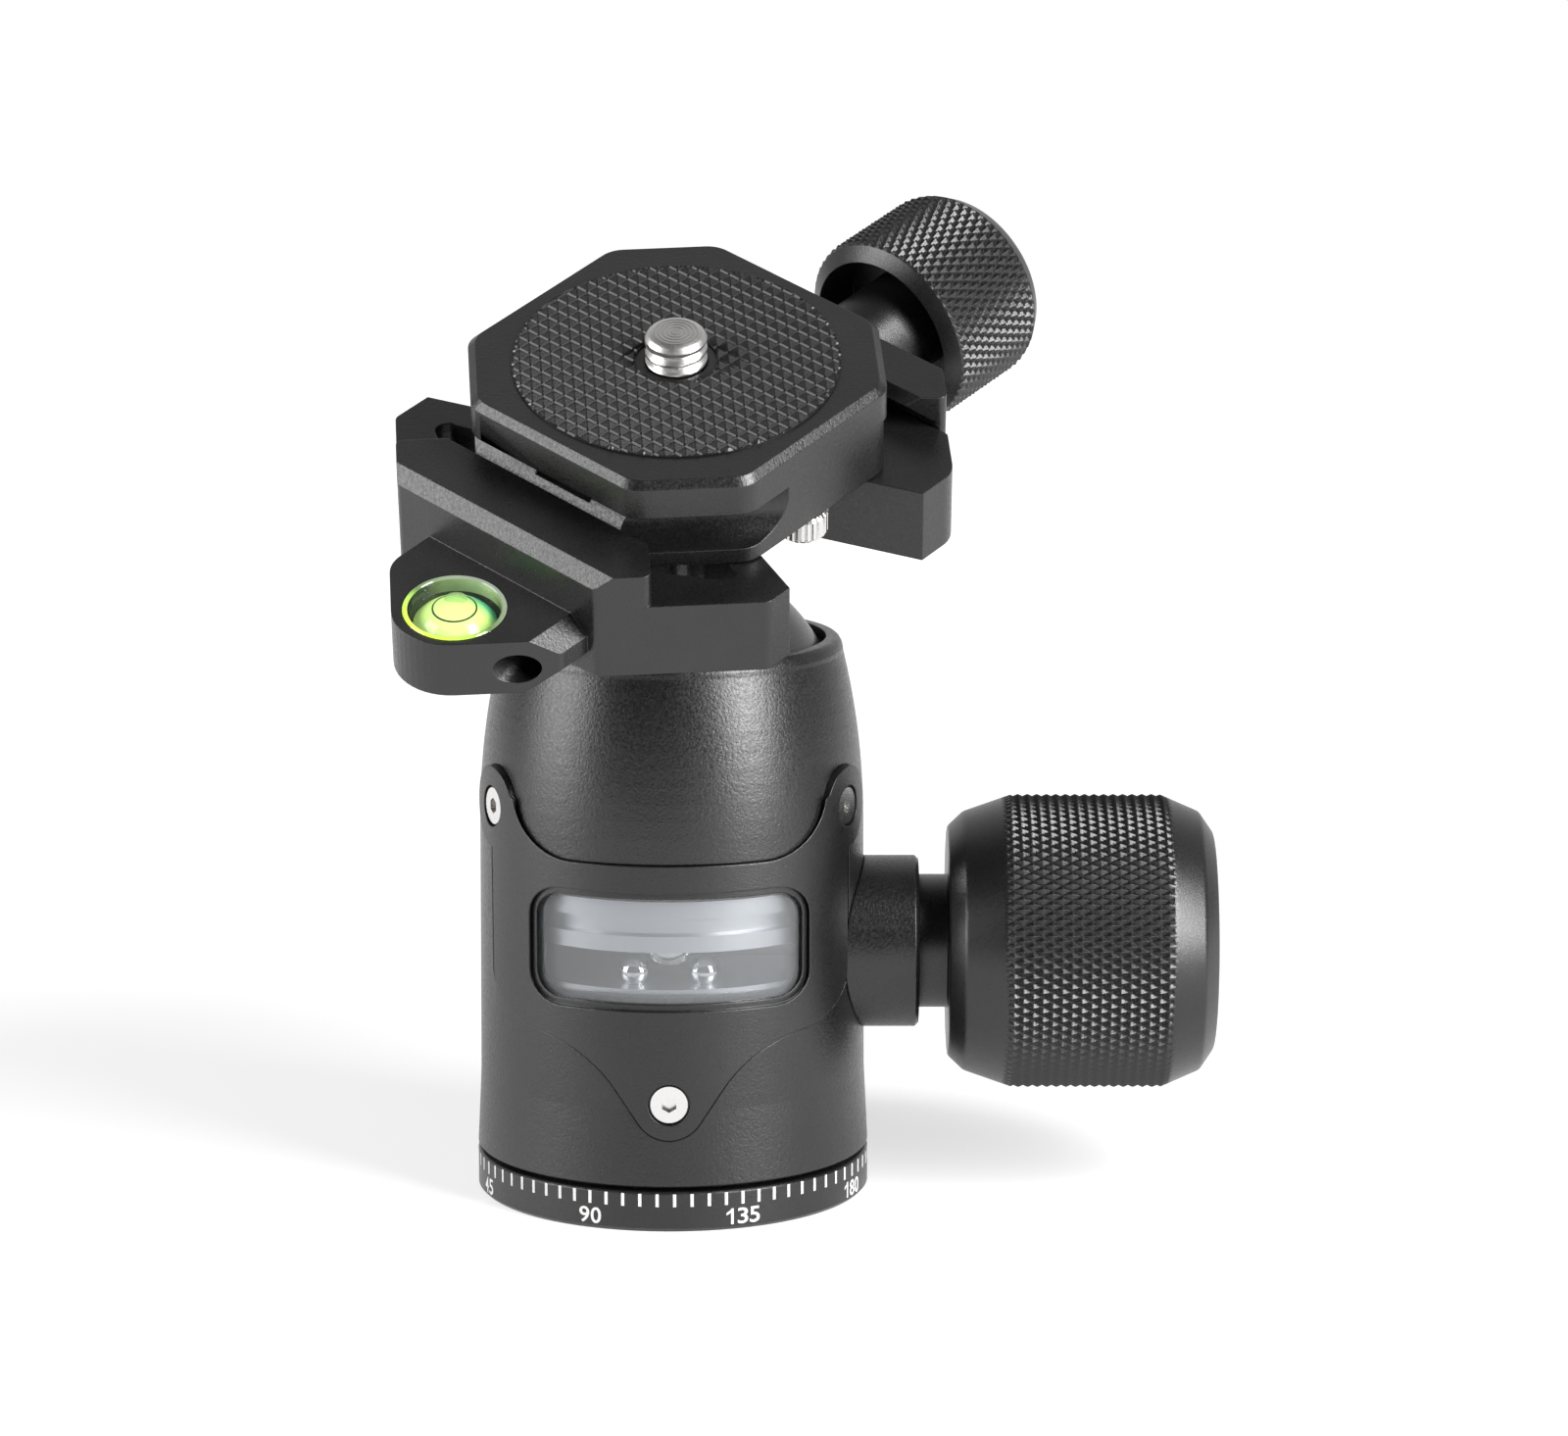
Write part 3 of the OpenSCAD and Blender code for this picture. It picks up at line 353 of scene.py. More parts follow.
# ---- Locking cells ----
# What the window shows: a light alloy race, three cells with a pair of small steel
# balls, and the pressure cup with one large ball set in its floor over each cell.
cup_alloy = turned_steel("cup_alloy", (0.72, 0.73, 0.75), 0.38)
machined(["cell_ring", "pressure_cup", "housing_floor"], cup_alloy)
ball_steel = turned_steel("bearing_steel", (0.88, 0.88, 0.88), 0.08)
machined(["cell_balls", "cell_domes"], ball_steel)


# ---- Brass and plastic inside ----
# The threaded insert and the pan lock's shoe are brass. The slip washer, the cup's
# liner and the ball's seat ring are plain low-friction plastic.
brass = turned_steel("turned_brass", (0.72, 0.52, 0.22), 0.28)
machined(["thread_insert", "pan_lock_shoe"], brass)
liner_plastic = marking("liner_plastic", (0.66, 0.63, 0.54))
machined(["pan_washer", "cup_liner", "seat_ring"], liner_plastic)


# ---- Lock knob ----
# The large knob that locks the ball: turned aluminium with a diamond-knurled band
# between two smooth shoulders, on a hub that runs into the collar.
LOCK_Z = 26.6
EASE_STEPS, NEARLY_STRAIGHT = 3, 172
ALONG_X = Matrix.Translation((0, 0, LOCK_Z * MM)) @ Matrix.Rotation(pi / 2, 4, "Y") @ STAND


def eased(points, r):
    """A turned profile with each of its corners eased by a small radius."""
    out = [points[0]]
    for before, corner, after in zip(points, points[1:], points[2:]):
        p = Vector(corner)
        a, b = Vector(before) - p, Vector(after) - p
        reach = min(r, a.length * 0.45, b.length * 0.45)
        if a.angle(b) > radians(NEARLY_STRAIGHT):
            out.append(tuple(p))
            continue
        start, end = p + a.normalized() * reach, p + b.normalized() * reach
        for k in range(EASE_STEPS + 1):
            t = k / EASE_STEPS
            out.append(tuple(start * (1 - t) ** 2 + p * 2 * t * (1 - t) + end * t * t))
    out.append(points[-1])
    return out


def turn(bm, profile, sides=160, closed=False):
    """Turns a profile of (radius, height) points about Z."""
    rings = []
    for r, z in profile:
        count = 1 if r < 1e-5 else sides
        rings.append([bm.verts.new((r * cos(2 * pi * i / sides), r * sin(2 * pi * i / sides), z))
                      for i in range(count)])
    pairs = list(zip(rings, rings[1:]))
    if closed:
        pairs.append((rings[-1], rings[0]))
    for low, high in pairs:
        for i in range(sides):
            j = (i + 1) % sides
            quad = [low[i % len(low)], low[j % len(low)], high[j % len(high)], high[i % len(high)]]
            loop = [v for n, v in enumerate(quad) if v not in quad[:n]]
            bm.faces.new(loop)


def wave(t):
    """Runs from 0 to 1 and back over each whole step of t."""
    return 1 - abs(2 * (t % 1) - 1)


KNURL_DEPTH = 0.47
KNURL_ROUND, KNURL_LONG = 1.12, 2.05
KNURL_FLAT = 0.94
POINTS_ROUND, POINTS_LONG = 6, 16


def knurl(bm, r, z0, z1, stock):
    """Diamond points between two crossing sets of V grooves, cut into the stock's own outline."""
    around = round(2 * pi * r / KNURL_ROUND) * POINTS_ROUND
    along = round((z1 - z0) / KNURL_LONG * POINTS_LONG)
    grid = []
    for k in range(along + 1):
        z = z0 + (z1 - z0) * k / along
        v = (z - (z0 + z1) / 2) / KNURL_LONG
        row = []
        for i in range(around):
            u = i / POINTS_ROUND
            height = min(wave(u + v), wave(u - v), KNURL_FLAT)
            radius = min(r - KNURL_DEPTH * (1 - height), stock(z))
            a = 2 * pi * i / around
            row.append(bm.verts.new((radius * cos(a), radius * sin(a), z)))
        grid.append(row)
    for low, high in zip(grid, grid[1:]):
        for i in range(around):
            j = (i + 1) % around
            bm.faces.new((low[i], low[j], high[j], high[i]))


KNOB_R = 15.75
HUB_R, HUB_FROM = 7.15, 22.95
KNOB_FROM, KNOB_TO = 29.5, 58.0
SHOULDER_R, NEAR_SHOULDER, FAR_SHOULDER = 13.9, 31.2, 56.5
NEAR_FACE_R, FAR_FACE_R = 12.3, 11.7
BAND_FROM, BAND_TO = 35.0, 53.6
CONE_R = 15.6
NEAR_CONE_AT, NEAR_CONE_SLOPE = 36.1, 0.347
FAR_CONE_AT, FAR_CONE_SLOPE = 52.6, 0.436
CORNER = 0.3
KNURL_SHARP = 24


def lock_knob_stock(z):
    """Radius of the lock knob's two cones, under the knurl."""
    near = CONE_R + (z - NEAR_CONE_AT) * NEAR_CONE_SLOPE
    far = CONE_R - (z - FAR_CONE_AT) * FAR_CONE_SLOPE
    return min(near, far)


knob_black = anodised("knob_anodised", DYE, 0.33, grain=0.35, grain_size=0.13, edge=0.06)
bm = bmesh.new()
turn(bm, eased([(0, HUB_FROM), (HUB_R, HUB_FROM), (HUB_R, KNOB_FROM), (NEAR_FACE_R, KNOB_FROM),
                (SHOULDER_R, NEAR_SHOULDER), (lock_knob_stock(BAND_FROM), BAND_FROM)], CORNER))
knurl(bm, KNOB_R, BAND_FROM, BAND_TO, lock_knob_stock)
turn(bm, eased([(lock_knob_stock(BAND_TO), BAND_TO), (SHOULDER_R, FAR_SHOULDER), (FAR_FACE_R, KNOB_TO),
                (0, KNOB_TO)], CORNER))
lock_knob = finished("lock_knob_turned", bm, knob_black, ALONG_X, sharp=KNURL_SHARP)
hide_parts("lock_knob")
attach(lock_knob, "lock_knob")


# ---- Pan lock knob ----
# The small knurled knob at the back that locks the panning base.
PAN_LOCK_Z = 11.2
PAN_KNOB_R, PAN_EDGE_R, PAN_FACE_R = 6.0, 5.5, 4.6
PAN_KNOB_FROM, PAN_BAND_FROM, PAN_BAND_TO, PAN_KNOB_TO = 22, 23.2, 29.8, 31
RUN_OUT = 0.9
SMALL_CORNER, SMALL_SIDES = 0.2, 96
ALONG_Y = Matrix.Translation((0, 0, PAN_LOCK_Z * MM)) @ Matrix.Rotation(-pi / 2, 4, "X") @ STAND


def pan_knob_stock(z):
    """Radius of the small knob's two cones, under the knurl."""
    return PAN_EDGE_R + min(z - PAN_BAND_FROM, PAN_BAND_TO - z) * RUN_OUT


bm = bmesh.new()
turn(bm, eased([(0, PAN_KNOB_FROM), (PAN_FACE_R, PAN_KNOB_FROM), (PAN_EDGE_R, PAN_BAND_FROM)], SMALL_CORNER),
     sides=SMALL_SIDES)
knurl(bm, PAN_KNOB_R, PAN_BAND_FROM, PAN_BAND_TO, pan_knob_stock)
turn(bm, eased([(PAN_EDGE_R, PAN_BAND_TO), (PAN_FACE_R, PAN_KNOB_TO), (0, PAN_KNOB_TO)], SMALL_CORNER),
     sides=SMALL_SIDES)
pan_knob = finished("pan_lock_knob_turned", bm, knob_black, ALONG_Y, sharp=KNURL_SHARP)
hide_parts("pan_lock_knob")
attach(pan_knob, "pan_knob")


# ---- Ball ----
# The ball and its stem, turned in one piece and hard coated dark grey. The coat is
# smoother than the blasted parts.
REST_TILT, REST_SPIN = radians(28.2), radians(-40.9)
BALL_Z = 50.4
HEAD = (Matrix.Translation((0, 0, BALL_Z * MM)) @ Matrix.Rotation(REST_TILT, 4, "X")
        @ Matrix.Rotation(REST_SPIN, 4, "Z") @ STAND)
BALL_R, STEM_R = 18.0, 7.2
STEM_FLARE, BALL_STEPS = 1.4, 60
CLAMP_Z, CLAMP_CLEAR = 27.7, 0.05
ball_coat = anodised("ball_hard_coat", (0.03, 0.03, 0.032), 0.28, grain=0.12, grain_size=0.2)
bm = bmesh.new()
flare = STEM_R + STEM_FLARE
last = atan2(flare, sqrt(BALL_R ** 2 - flare ** 2))
profile = []
for k in range(BALL_STEPS + 1):
    a = pi - (pi - last) * k / BALL_STEPS
    profile.append((BALL_R * sin(a), BALL_R * cos(a)))
profile[0] = (0, -BALL_R)
stem_top = CLAMP_Z - CLAMP_CLEAR
profile += eased([profile[-1], (STEM_R, BALL_R), (STEM_R, stem_top), (0, stem_top)], 0.5)[1:]
turn(bm, profile)
ball = finished("ball_turned", bm, ball_coat, HEAD)
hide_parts("ball_stem")
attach(ball, "ball")


# ---- Clamp ----
# The quick-release clamp: one milled block with a fixed jaw, two open ends for the
# stop screws and a lug for the level. Edges are chamfered before anodising.
clamp_black = anodised("clamp_anodised", (0.007, 0.0066, 0.0066), 0.34, grain=0.5)
machined(["clamp_body", "moving_jaw"], clamp_black)


# ---- Level ----
# The round bubble level pressed into the lug: a clear moulded body round a low dome
# of yellow-green spirit, with a bubble and a black target ring under the clear top.
VIAL_AT, VIAL_TOP = 31.9, CLAMP_Z + 6.4
VIAL_R, VIAL_WALL, VIAL_FLOOR = 5.25, 0.4, VIAL_TOP - 3.78
SPIRIT_R, SPIRIT_RISE, SPIRIT_TOP = 3.5, 1.45, VIAL_TOP + 0.52
DOME_STEPS = 12
SKIRT_R, SKIRT_DROP = 4.2, 0.75
RING_LINE_R, RING_LINE, LINE_PROUD = 2.22, 0.075, 0.05
BUBBLE_AT, BUBBLE_R, BUBBLE_SUNK = (-0.6, 0.85), 1.15, 0.1
CUP_FOOT, WALL_DEEP, FILM = 0.7, 1.5, 0.02
AT_VIAL = HEAD @ Matrix.Translation((0, -VIAL_AT, 0))
ACROSS = tuple(HEAD.to_3x3().normalized().col[1])
SPIRIT_BALL = (SPIRIT_R ** 2 + SPIRIT_RISE ** 2) / (2 * SPIRIT_RISE)


def spirit_height(r):
    """Height of the dome of spirit at a radius."""
    return SPIRIT_TOP - SPIRIT_BALL + sqrt(SPIRIT_BALL ** 2 - r ** 2)


def shaded_across(name, stops, roughness, glow):
    """Liquid or moulding with painted light and shade: its colour runs from its near side to its far side,
    and it glows faintly though it is no lamp.
    """
    material = bpy.data.materials.new(name)
    material.use_nodes = True
    tree = material.node_tree
    shader = tree.nodes["Principled BSDF"]
    where = tree.nodes.new("ShaderNodeTexCoord")
    along = tree.nodes.new("ShaderNodeVectorMath")
    along.operation = "DOT_PRODUCT"
    along.inputs[1].default_value = ACROSS
    tree.links.new(where.outputs["Object"], along.inputs[0])
    centre = (AT_VIAL @ Vector((0, 0, VIAL_TOP))).dot(Vector(ACROSS))
    reach = tree.nodes.new("ShaderNodeMapRange")
    reach.inputs["From Min"].default_value = centre - VIAL_R * MM
    reach.inputs["From Max"].default_value = centre + VIAL_R * MM
    tree.links.new(along.outputs["Value"], reach.inputs["Value"])
    cloud = tree.nodes.new("ShaderNodeTexNoise")
    cloud.inputs["Scale"].default_value = 700
    tree.links.new(where.outputs["Object"], cloud.inputs["Vector"])
    mixed = tree.nodes.new("ShaderNodeMath")
    mixed.operation = "MULTIPLY_ADD"
    mixed.inputs[1].default_value = 0.06
    tree.links.new(cloud.outputs["Fac"], mixed.inputs[0])
    tree.links.new(reach.outputs["Result"], mixed.inputs[2])
    ramp = tree.nodes.new("ShaderNodeValToRGB")
    while len(ramp.color_ramp.elements) < len(stops):
        ramp.color_ramp.elements.new(1)
    for element, (position, colour) in zip(ramp.color_ramp.elements, stops):
        element.position = position
        element.color = (*colour, 1)
    tree.links.new(mixed.outputs[0], ramp.inputs["Fac"])
    tree.links.new(ramp.outputs["Color"], shader.inputs["Base Color"])
    # Painted glow: the ramp's colour is also emitted, so the part lights itself.
    tree.links.new(ramp.outputs["Color"], shader.inputs["Emission Color"])
    shader.inputs["Emission Strength"].default_value = glow
    shader.inputs["Roughness"].default_value = roughness
    return material


clear_cup = clear_shell("level_clear", (0.95, 1.0, 0.93), 0.03, (0.45, 0.80, 0.12), 0.03)
# Painted light on the level's rim: a bright yellow-green highlight on the near edge, painted shade across
# the middle, and a faint glow.
rim_painted_shading_stops = [(0.0, (0.55, 0.85, 0.06)), (0.28, (0.35, 0.60, 0.08)), (0.5, (0.10, 0.16, 0.06)),
             (1.0, (0.22, 0.26, 0.20))]
painted_shading_rim = shaded_across("level_rim_painted_shading", rim_painted_shading_stops, 0.1, 0.35)
# Painted shade and light for a thin sheet inside the cup's wall: dark on the near side as painted shade,
# lighter green towards the far side as painted light, with a faint glow.
wall_painted_shading_stops = [(0.0, (0.02, 0.03, 0.02)), (0.62, (0.02, 0.03, 0.02)), (0.86, (0.20, 0.27, 0.12)),
              (1.0, (0.42, 0.52, 0.26))]
painted_shading_wall = shaded_across("level_wall_painted_shading", wall_painted_shading_stops, 0.15, 0.25)
# The spirit's own yellow-green with painted light and shade over it: pale on the near side, dark teal on the
# far side as painted shade, and a faint glow.
spirit_painted_shading_stops = [(0.0, (0.52, 0.62, 0.38)), (0.20, (0.60, 0.84, 0.27)), (0.66, (0.52, 0.78, 0.20)),
                (0.80, (0.03, 0.30, 0.16)), (1.0, (0.01, 0.12, 0.09))]
spirit = shaded_across("level_spirit", spirit_painted_shading_stops, 0.15, 0.25)
ring_black = marking("level_ring_black", (0.01, 0.02, 0.01))
inner = VIAL_R - VIAL_WALL

bm = bmesh.new()
turn(bm, eased([(0, VIAL_FLOOR - CUP_FOOT), (VIAL_R, VIAL_FLOOR - CUP_FOOT), (VIAL_R, VIAL_TOP + FILM),
                (inner, VIAL_TOP + FILM), (inner, VIAL_FLOOR), (0, VIAL_FLOOR)], 0.12), sides=SMALL_SIDES)
cup = finished("level_cup", bm, clear_cup, AT_VIAL)
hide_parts("vial_cup")
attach(cup, "clamp")

bm = bmesh.new()
turn(bm, [(VIAL_R, VIAL_TOP + 0.03), (VIAL_R - 0.1, VIAL_TOP + 0.19), (inner + 0.02, VIAL_TOP + 0.14),
          (inner - 0.1, VIAL_TOP + 0.03)], sides=SMALL_SIDES, closed=True)
rim = finished("level_rim", bm, painted_shading_rim, AT_VIAL)
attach(rim, "clamp")

# A thin sheet just inside the clear cup's wall, which carries only the painted shade and light above.
bm = bmesh.new()
wall_in, wall_out = inner - 0.06, inner - 0.01
turn(bm, [(wall_in, VIAL_TOP - WALL_DEEP), (wall_in, VIAL_TOP - FILM), (wall_out, VIAL_TOP - FILM),
          (wall_out, VIAL_TOP - WALL_DEEP)], sides=SMALL_SIDES, closed=True)
wall = finished("level_wall", bm, painted_shading_wall, AT_VIAL)
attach(wall, "clamp")

bm = bmesh.new()
foot = spirit_height(SPIRIT_R)
dome = [(0, VIAL_FLOOR + FILM), (SKIRT_R, VIAL_FLOOR + FILM), (SKIRT_R, foot - SKIRT_DROP),
        (SPIRIT_R + 0.12, foot - 0.1)]
for k in range(DOME_STEPS + 1):
    r = SPIRIT_R * (1 - k / DOME_STEPS)
    dome.append((r, spirit_height(r)))
turn(bm, dome, sides=SMALL_SIDES)
fluid = finished("level_spirit_dome", bm, spirit, AT_VIAL)
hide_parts("vial_fluid")
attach(fluid, "clamp")

bm = bmesh.new()
line_in, line_out = RING_LINE_R - RING_LINE, RING_LINE_R + RING_LINE
low_in, low_out = spirit_height(line_in), spirit_height(line_out)
turn(bm, [(line_in, low_in + FILM), (line_out, low_out + FILM), (line_out, low_out + LINE_PROUD),
          (line_in, low_in + LINE_PROUD)], sides=SMALL_SIDES, closed=True)
ring_line = finished("level_ring", bm, ring_black, AT_VIAL)
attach(ring_line, "clamp")

bm = bmesh.new()
turn(bm, [(0, 0), (BUBBLE_R * 0.9, 0), (BUBBLE_R, 0.06), (BUBBLE_R * 0.86, 0.14), (BUBBLE_R * 0.5, 0.22),
          (0, 0.25)], sides=48)
bubble_skin = clear_shell("level_bubble", (0.72, 0.86, 0.62), 0.25, (0.62, 0.80, 0.40), 0.03)
bubble_z = spirit_height(sqrt(BUBBLE_AT[0] ** 2 + BUBBLE_AT[1] ** 2)) - BUBBLE_SUNK
bubble = finished("level_bubble", bm, bubble_skin, AT_VIAL @ Matrix.Translation((*BUBBLE_AT, bubble_z)))
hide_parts("vial_bubble")
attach(bubble, "clamp")

machined(["vial_lens"], clear_shell("level_lens_clear", (0.98, 1.0, 0.97), 0.0, (0.5, 0.5, 0.5), 0.02))


# ---- Clamp knob ----
# The knob that closes the clamp: knurled like the lock knob, with a recess in its
# near face round the hub.
ALONG_SCREW = HEAD @ Matrix.Translation((0, 0, CLAMP_Z + 4.4)) @ Matrix.Rotation(-pi / 2, 4, "X")
CLAMP_KNOB_R, CLAMP_EDGE_R, CLAMP_END_R = 10.7, 10.25, 9.3
CLAMP_HUB_R, CLAMP_HUB_FROM = 5.4, 27.4
RECESS_R, RECESS_MOUTH_R, RECESS_FLOOR = 8.1, 8.7, 39.1
CLAMP_KNOB_FROM, CLAMP_BAND_FROM, CLAMP_BAND_TO, CLAMP_KNOB_TO = 34.1, 35.2, 47.6, 49.1
END_RUN_OUT = 0.6


def clamp_knob_stock(z):
    """Radius of the clamp knob's two cones, under the knurl."""
    return CLAMP_EDGE_R + min((z - CLAMP_BAND_FROM) * RUN_OUT, (CLAMP_BAND_TO - z) * END_RUN_OUT)


bm = bmesh.new()
turn(bm, eased([(0, CLAMP_HUB_FROM), (CLAMP_HUB_R, CLAMP_HUB_FROM), (CLAMP_HUB_R, RECESS_FLOOR),
                (RECESS_R, RECESS_FLOOR), (RECESS_MOUTH_R, CLAMP_KNOB_FROM),
                (CLAMP_EDGE_R, CLAMP_BAND_FROM)], 0.15))
knurl(bm, CLAMP_KNOB_R, CLAMP_BAND_FROM, CLAMP_BAND_TO, clamp_knob_stock)
turn(bm, eased([(CLAMP_EDGE_R, CLAMP_BAND_TO), (CLAMP_END_R, CLAMP_KNOB_TO), (0, CLAMP_KNOB_TO)], CORNER))
clamp_knob = finished("clamp_knob_turned", bm, knob_black, ALONG_SCREW, sharp=KNURL_SHARP)
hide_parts("clamp_knob")
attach(clamp_knob, "clamp_knob")


# ---- Camera plate ----
# The plate that screws to the camera: an aluminium dovetail with a wide flange and
# cut corners, chamfered all round its top.
machined(["plate"], clamp_black)


# ---- Rubber pad ----
# A round pad of black rubber stuck on the plate, moulded with a net of ridges and a
# small sharp point in each of its cells.
PLATE_AT, PLATE_SHIFT, PLATE_TOP = 0.25, 1.3, CLAMP_Z + 19
PAD_R, PAD_HOLE = 16.8, 4.175
PITCH, FINE = 1.5, 10
PAD_EDGE, RIDGE, POINT_FOOT, POINT_RISE = 0.16, 0.24, 0.08, 0.42
IN_PLATE = HEAD @ Matrix.Translation((PLATE_AT, PLATE_SHIFT, 0))


def rubber(name, colour):
    """Moulded rubber: black, a little dusty, with a dull shine on its points."""
    material = bpy.data.materials.new(name)
    material.use_nodes = True
    tree = material.node_tree
    shader = tree.nodes["Principled BSDF"]
    where = tree.nodes.new("ShaderNodeTexCoord")
    dust = tree.nodes.new("ShaderNodeTexNoise")
    dust.inputs["Scale"].default_value = 2600
    dust.inputs["Detail"].default_value = 4
    tree.links.new(where.outputs["Object"], dust.inputs["Vector"])
    tint = tree.nodes.new("ShaderNodeValToRGB")
    tint.color_ramp.elements[0].color = [c * 0.75 for c in colour] + [1]
    tint.color_ramp.elements[1].color = [c * 1.35 for c in colour] + [1]
    tree.links.new(dust.outputs["Fac"], tint.inputs["Fac"])
    tree.links.new(tint.outputs["Color"], shader.inputs["Base Color"])
    bump = tree.nodes.new("ShaderNodeBump")
    bump.inputs["Strength"].default_value = 0.25
    bump.inputs["Distance"].default_value = 0.02 * MM
    tree.links.new(dust.outputs["Fac"], bump.inputs["Height"])
    tree.links.new(bump.outputs["Normal"], shader.inputs["Normal"])
    shader.inputs["Roughness"].default_value = 0.28
    shader.inputs["Specular IOR Level"].default_value = 0.35
    return material


bm = bmesh.new()
cells = int(PAD_R / PITCH) + 1
step = PITCH / FINE
span = cells * FINE
found = {}


def pad_point(i, k):
    """One grid point of the pad's face, drawn on to the rim and the hole where it crosses them."""
    if (i, k) in found:
        return found[i, k]
    x, y = i * step, k * step
    r = sqrt(x * x + y * y)
    u, v = abs((x / PITCH) % 1 - 0.5), abs((y / PITCH) % 1 - 0.5)
    reach = max(u, v)
    height = RIDGE if reach > 0.45 else POINT_FOOT + POINT_RISE * (1 - reach / 0.4)
    edge = min(PAD_R - r, r - PAD_HOLE)
    if edge < step * 0.7:
        goal = PAD_R if PAD_R - r < r - PAD_HOLE else PAD_HOLE
        x, y = x * goal / r, y * goal / r
        height = PAD_EDGE
    found[i, k] = bm.verts.new((x, y, PLATE_TOP + height))
    return found[i, k]


for i in range(-span, span):
    for k in range(-span, span):
        x, y = (i + 0.5) * step, (k + 0.5) * step
        r = sqrt(x * x + y * y)
        if PAD_HOLE < r < PAD_R:
            corners = ((i, k), (i + 1, k), (i + 1, k + 1), (i, k + 1))
            bm.faces.new([pad_point(*corner) for corner in corners])
outer_edges = [e for e in bm.edges if len(e.link_faces) == 1]
skirt = bmesh.ops.extrude_edge_only(bm, edges=outer_edges)["geom"]
for v in (g for g in skirt if isinstance(g, bmesh.types.BMVert)):
    v.co.z = PLATE_TOP + FILM
pad_black = rubber("pad_rubber", (0.010, 0.010, 0.010))
pad = finished("pad_moulded", bm, pad_black, IN_PLATE, sharp=20)
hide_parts("pad")
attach(pad, "plate")


# ---- Camera screw ----
# The stainless 1/4-20 screw that holds the camera: a rolled thread with a plain
# nose, on a flat head under the plate.
SCREW_R, NECK_R, SCREW_OUT = 3.175, 2.5, 3.6
THREAD_PITCH, THREAD_DEPTH, THREAD_FLANK = 1.27, 0.62, 1.25
THREAD_SIDES, TURN_SLICES = 72, 8
FADE_AT_TOP, FADE_AT_FOOT = 0.7, 0.3
THREAD_OFF, NOSE_LEN, NOSE_END, NOSE_DISH = 0.2, 0.7, 0.25, 0.03
SEAT_Z = 36.4
FLANGE_R, FLANGE_FROM, FLANGE_TO = SCREW_R + 3.1, SEAT_Z + 0.3, SEAT_Z + 2.7
TOOL_RINGS, TOOL_CUT = (2.0, 1.55, 1.1, 0.65), 0.05


def threaded(bm, r, z0, z1, nose):
    """A screw thread cut on a rod from z0 to z1, running out below a plain nose."""
    pitch, sides = THREAD_PITCH, THREAD_SIDES
    count = int((z1 - z0) / pitch * TURN_SLICES)
    grid = []
    for k in range(count + 1):
        z = z0 + (z1 - z0) * k / count
        row = []
        for i in range(sides):
            phase = (z / pitch - i / sides) % 1
            cut = THREAD_DEPTH * max(0, 1 - abs(2 * phase - 1) * THREAD_FLANK)
            cut = cut * min(1, (z1 - z) / (pitch * FADE_AT_TOP)) * min(1, (z - z0) / (pitch * FADE_AT_FOOT))
            a = 2 * pi * i / sides
            row.append(bm.verts.new(((r - cut) * cos(a), (r - cut) * sin(a), z)))
        grid.append(row)
    for low, high in zip(grid, grid[1:]):
        for i in range(sides):
            j = (i + 1) % sides
            bm.faces.new((low[i], low[j], high[j], high[i]))
    turn(bm, eased([(r, z1)] + nose, 0.25), sides=sides)


screw_top = PLATE_TOP + SCREW_OUT
thread_low = PLATE_TOP + THREAD_OFF
nose = [(SCREW_R - 0.3, screw_top - NOSE_END), (SCREW_R - 0.9, screw_top)]
for ring in TOOL_RINGS:
    nose += [(ring + 0.1, screw_top), (ring, screw_top - TOOL_CUT), (ring - 0.1, screw_top)]
nose.append((0, screw_top - NOSE_DISH))
bm = bmesh.new()
turn(bm, eased([(0, FLANGE_FROM), (FLANGE_R, FLANGE_FROM), (FLANGE_R, FLANGE_TO), (NECK_R, FLANGE_TO),
                (NECK_R, thread_low), (SCREW_R, thread_low)], 0.12), sides=THREAD_SIDES)
threaded(bm, SCREW_R, thread_low, screw_top - NOSE_LEN, nose)
satin_steel = turned_steel("satin_steel", (0.66, 0.65, 0.64), 0.34)
camera_screw = finished("camera_screw_threaded", bm, satin_steel, IN_PLATE, sharp=35)
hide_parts("camera_screw")
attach(camera_screw, "camera_screw")


# ---- Stop screws ----
# Two stainless screws under the plate keep it in the clamp. Their round heads are
# straight knurled.
STOP_AT, STOP_R, STOP_LEN = 17.0, 2.6, 3
STOP_TEETH, STOP_GROOVE = 26, 0.16


def straight_knurled(bm, z0, z1, at):
    """A knurled screw head, standing at a place along the plate."""
    r = STOP_R
    sides = STOP_TEETH * 4
    rows = ((0, z0), (r - 0.45, z0), (r - 0.12, z0 + 0.3), (r, z0 + 0.5), (r, z1 - 0.35), (r - 0.3, z1),
            (0, z1))
    rings = []
    for n, (radius, z) in enumerate(rows):
        if radius == 0:
            rings.append([bm.verts.new((at, 0, z))])
            continue
        ring = []
        for i in range(sides):
            groove = STOP_GROOVE if n in (3, 4) and i % 4 == 0 else 0
            a = 2 * pi * i / sides
            ring.append(bm.verts.new((at + (radius - groove) * cos(a), (radius - groove) * sin(a), z)))
        rings.append(ring)
    for low, high in zip(rings, rings[1:]):
        for i in range(sides):
            j = (i + 1) % sides
            quad = [low[i % len(low)], low[j % len(low)], high[j % len(high)], high[i % len(high)]]
            bm.faces.new([v for n, v in enumerate(quad) if v not in quad[:n]])


bm = bmesh.new()
for side in (-1, 1):
    straight_knurled(bm, SEAT_Z - STOP_LEN, SEAT_Z - FILM, side * STOP_AT)
stops = finished("stop_screws_knurled", bm, steel, IN_PLATE, sharp=20)
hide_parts("stop_screws")
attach(stops, "plate")


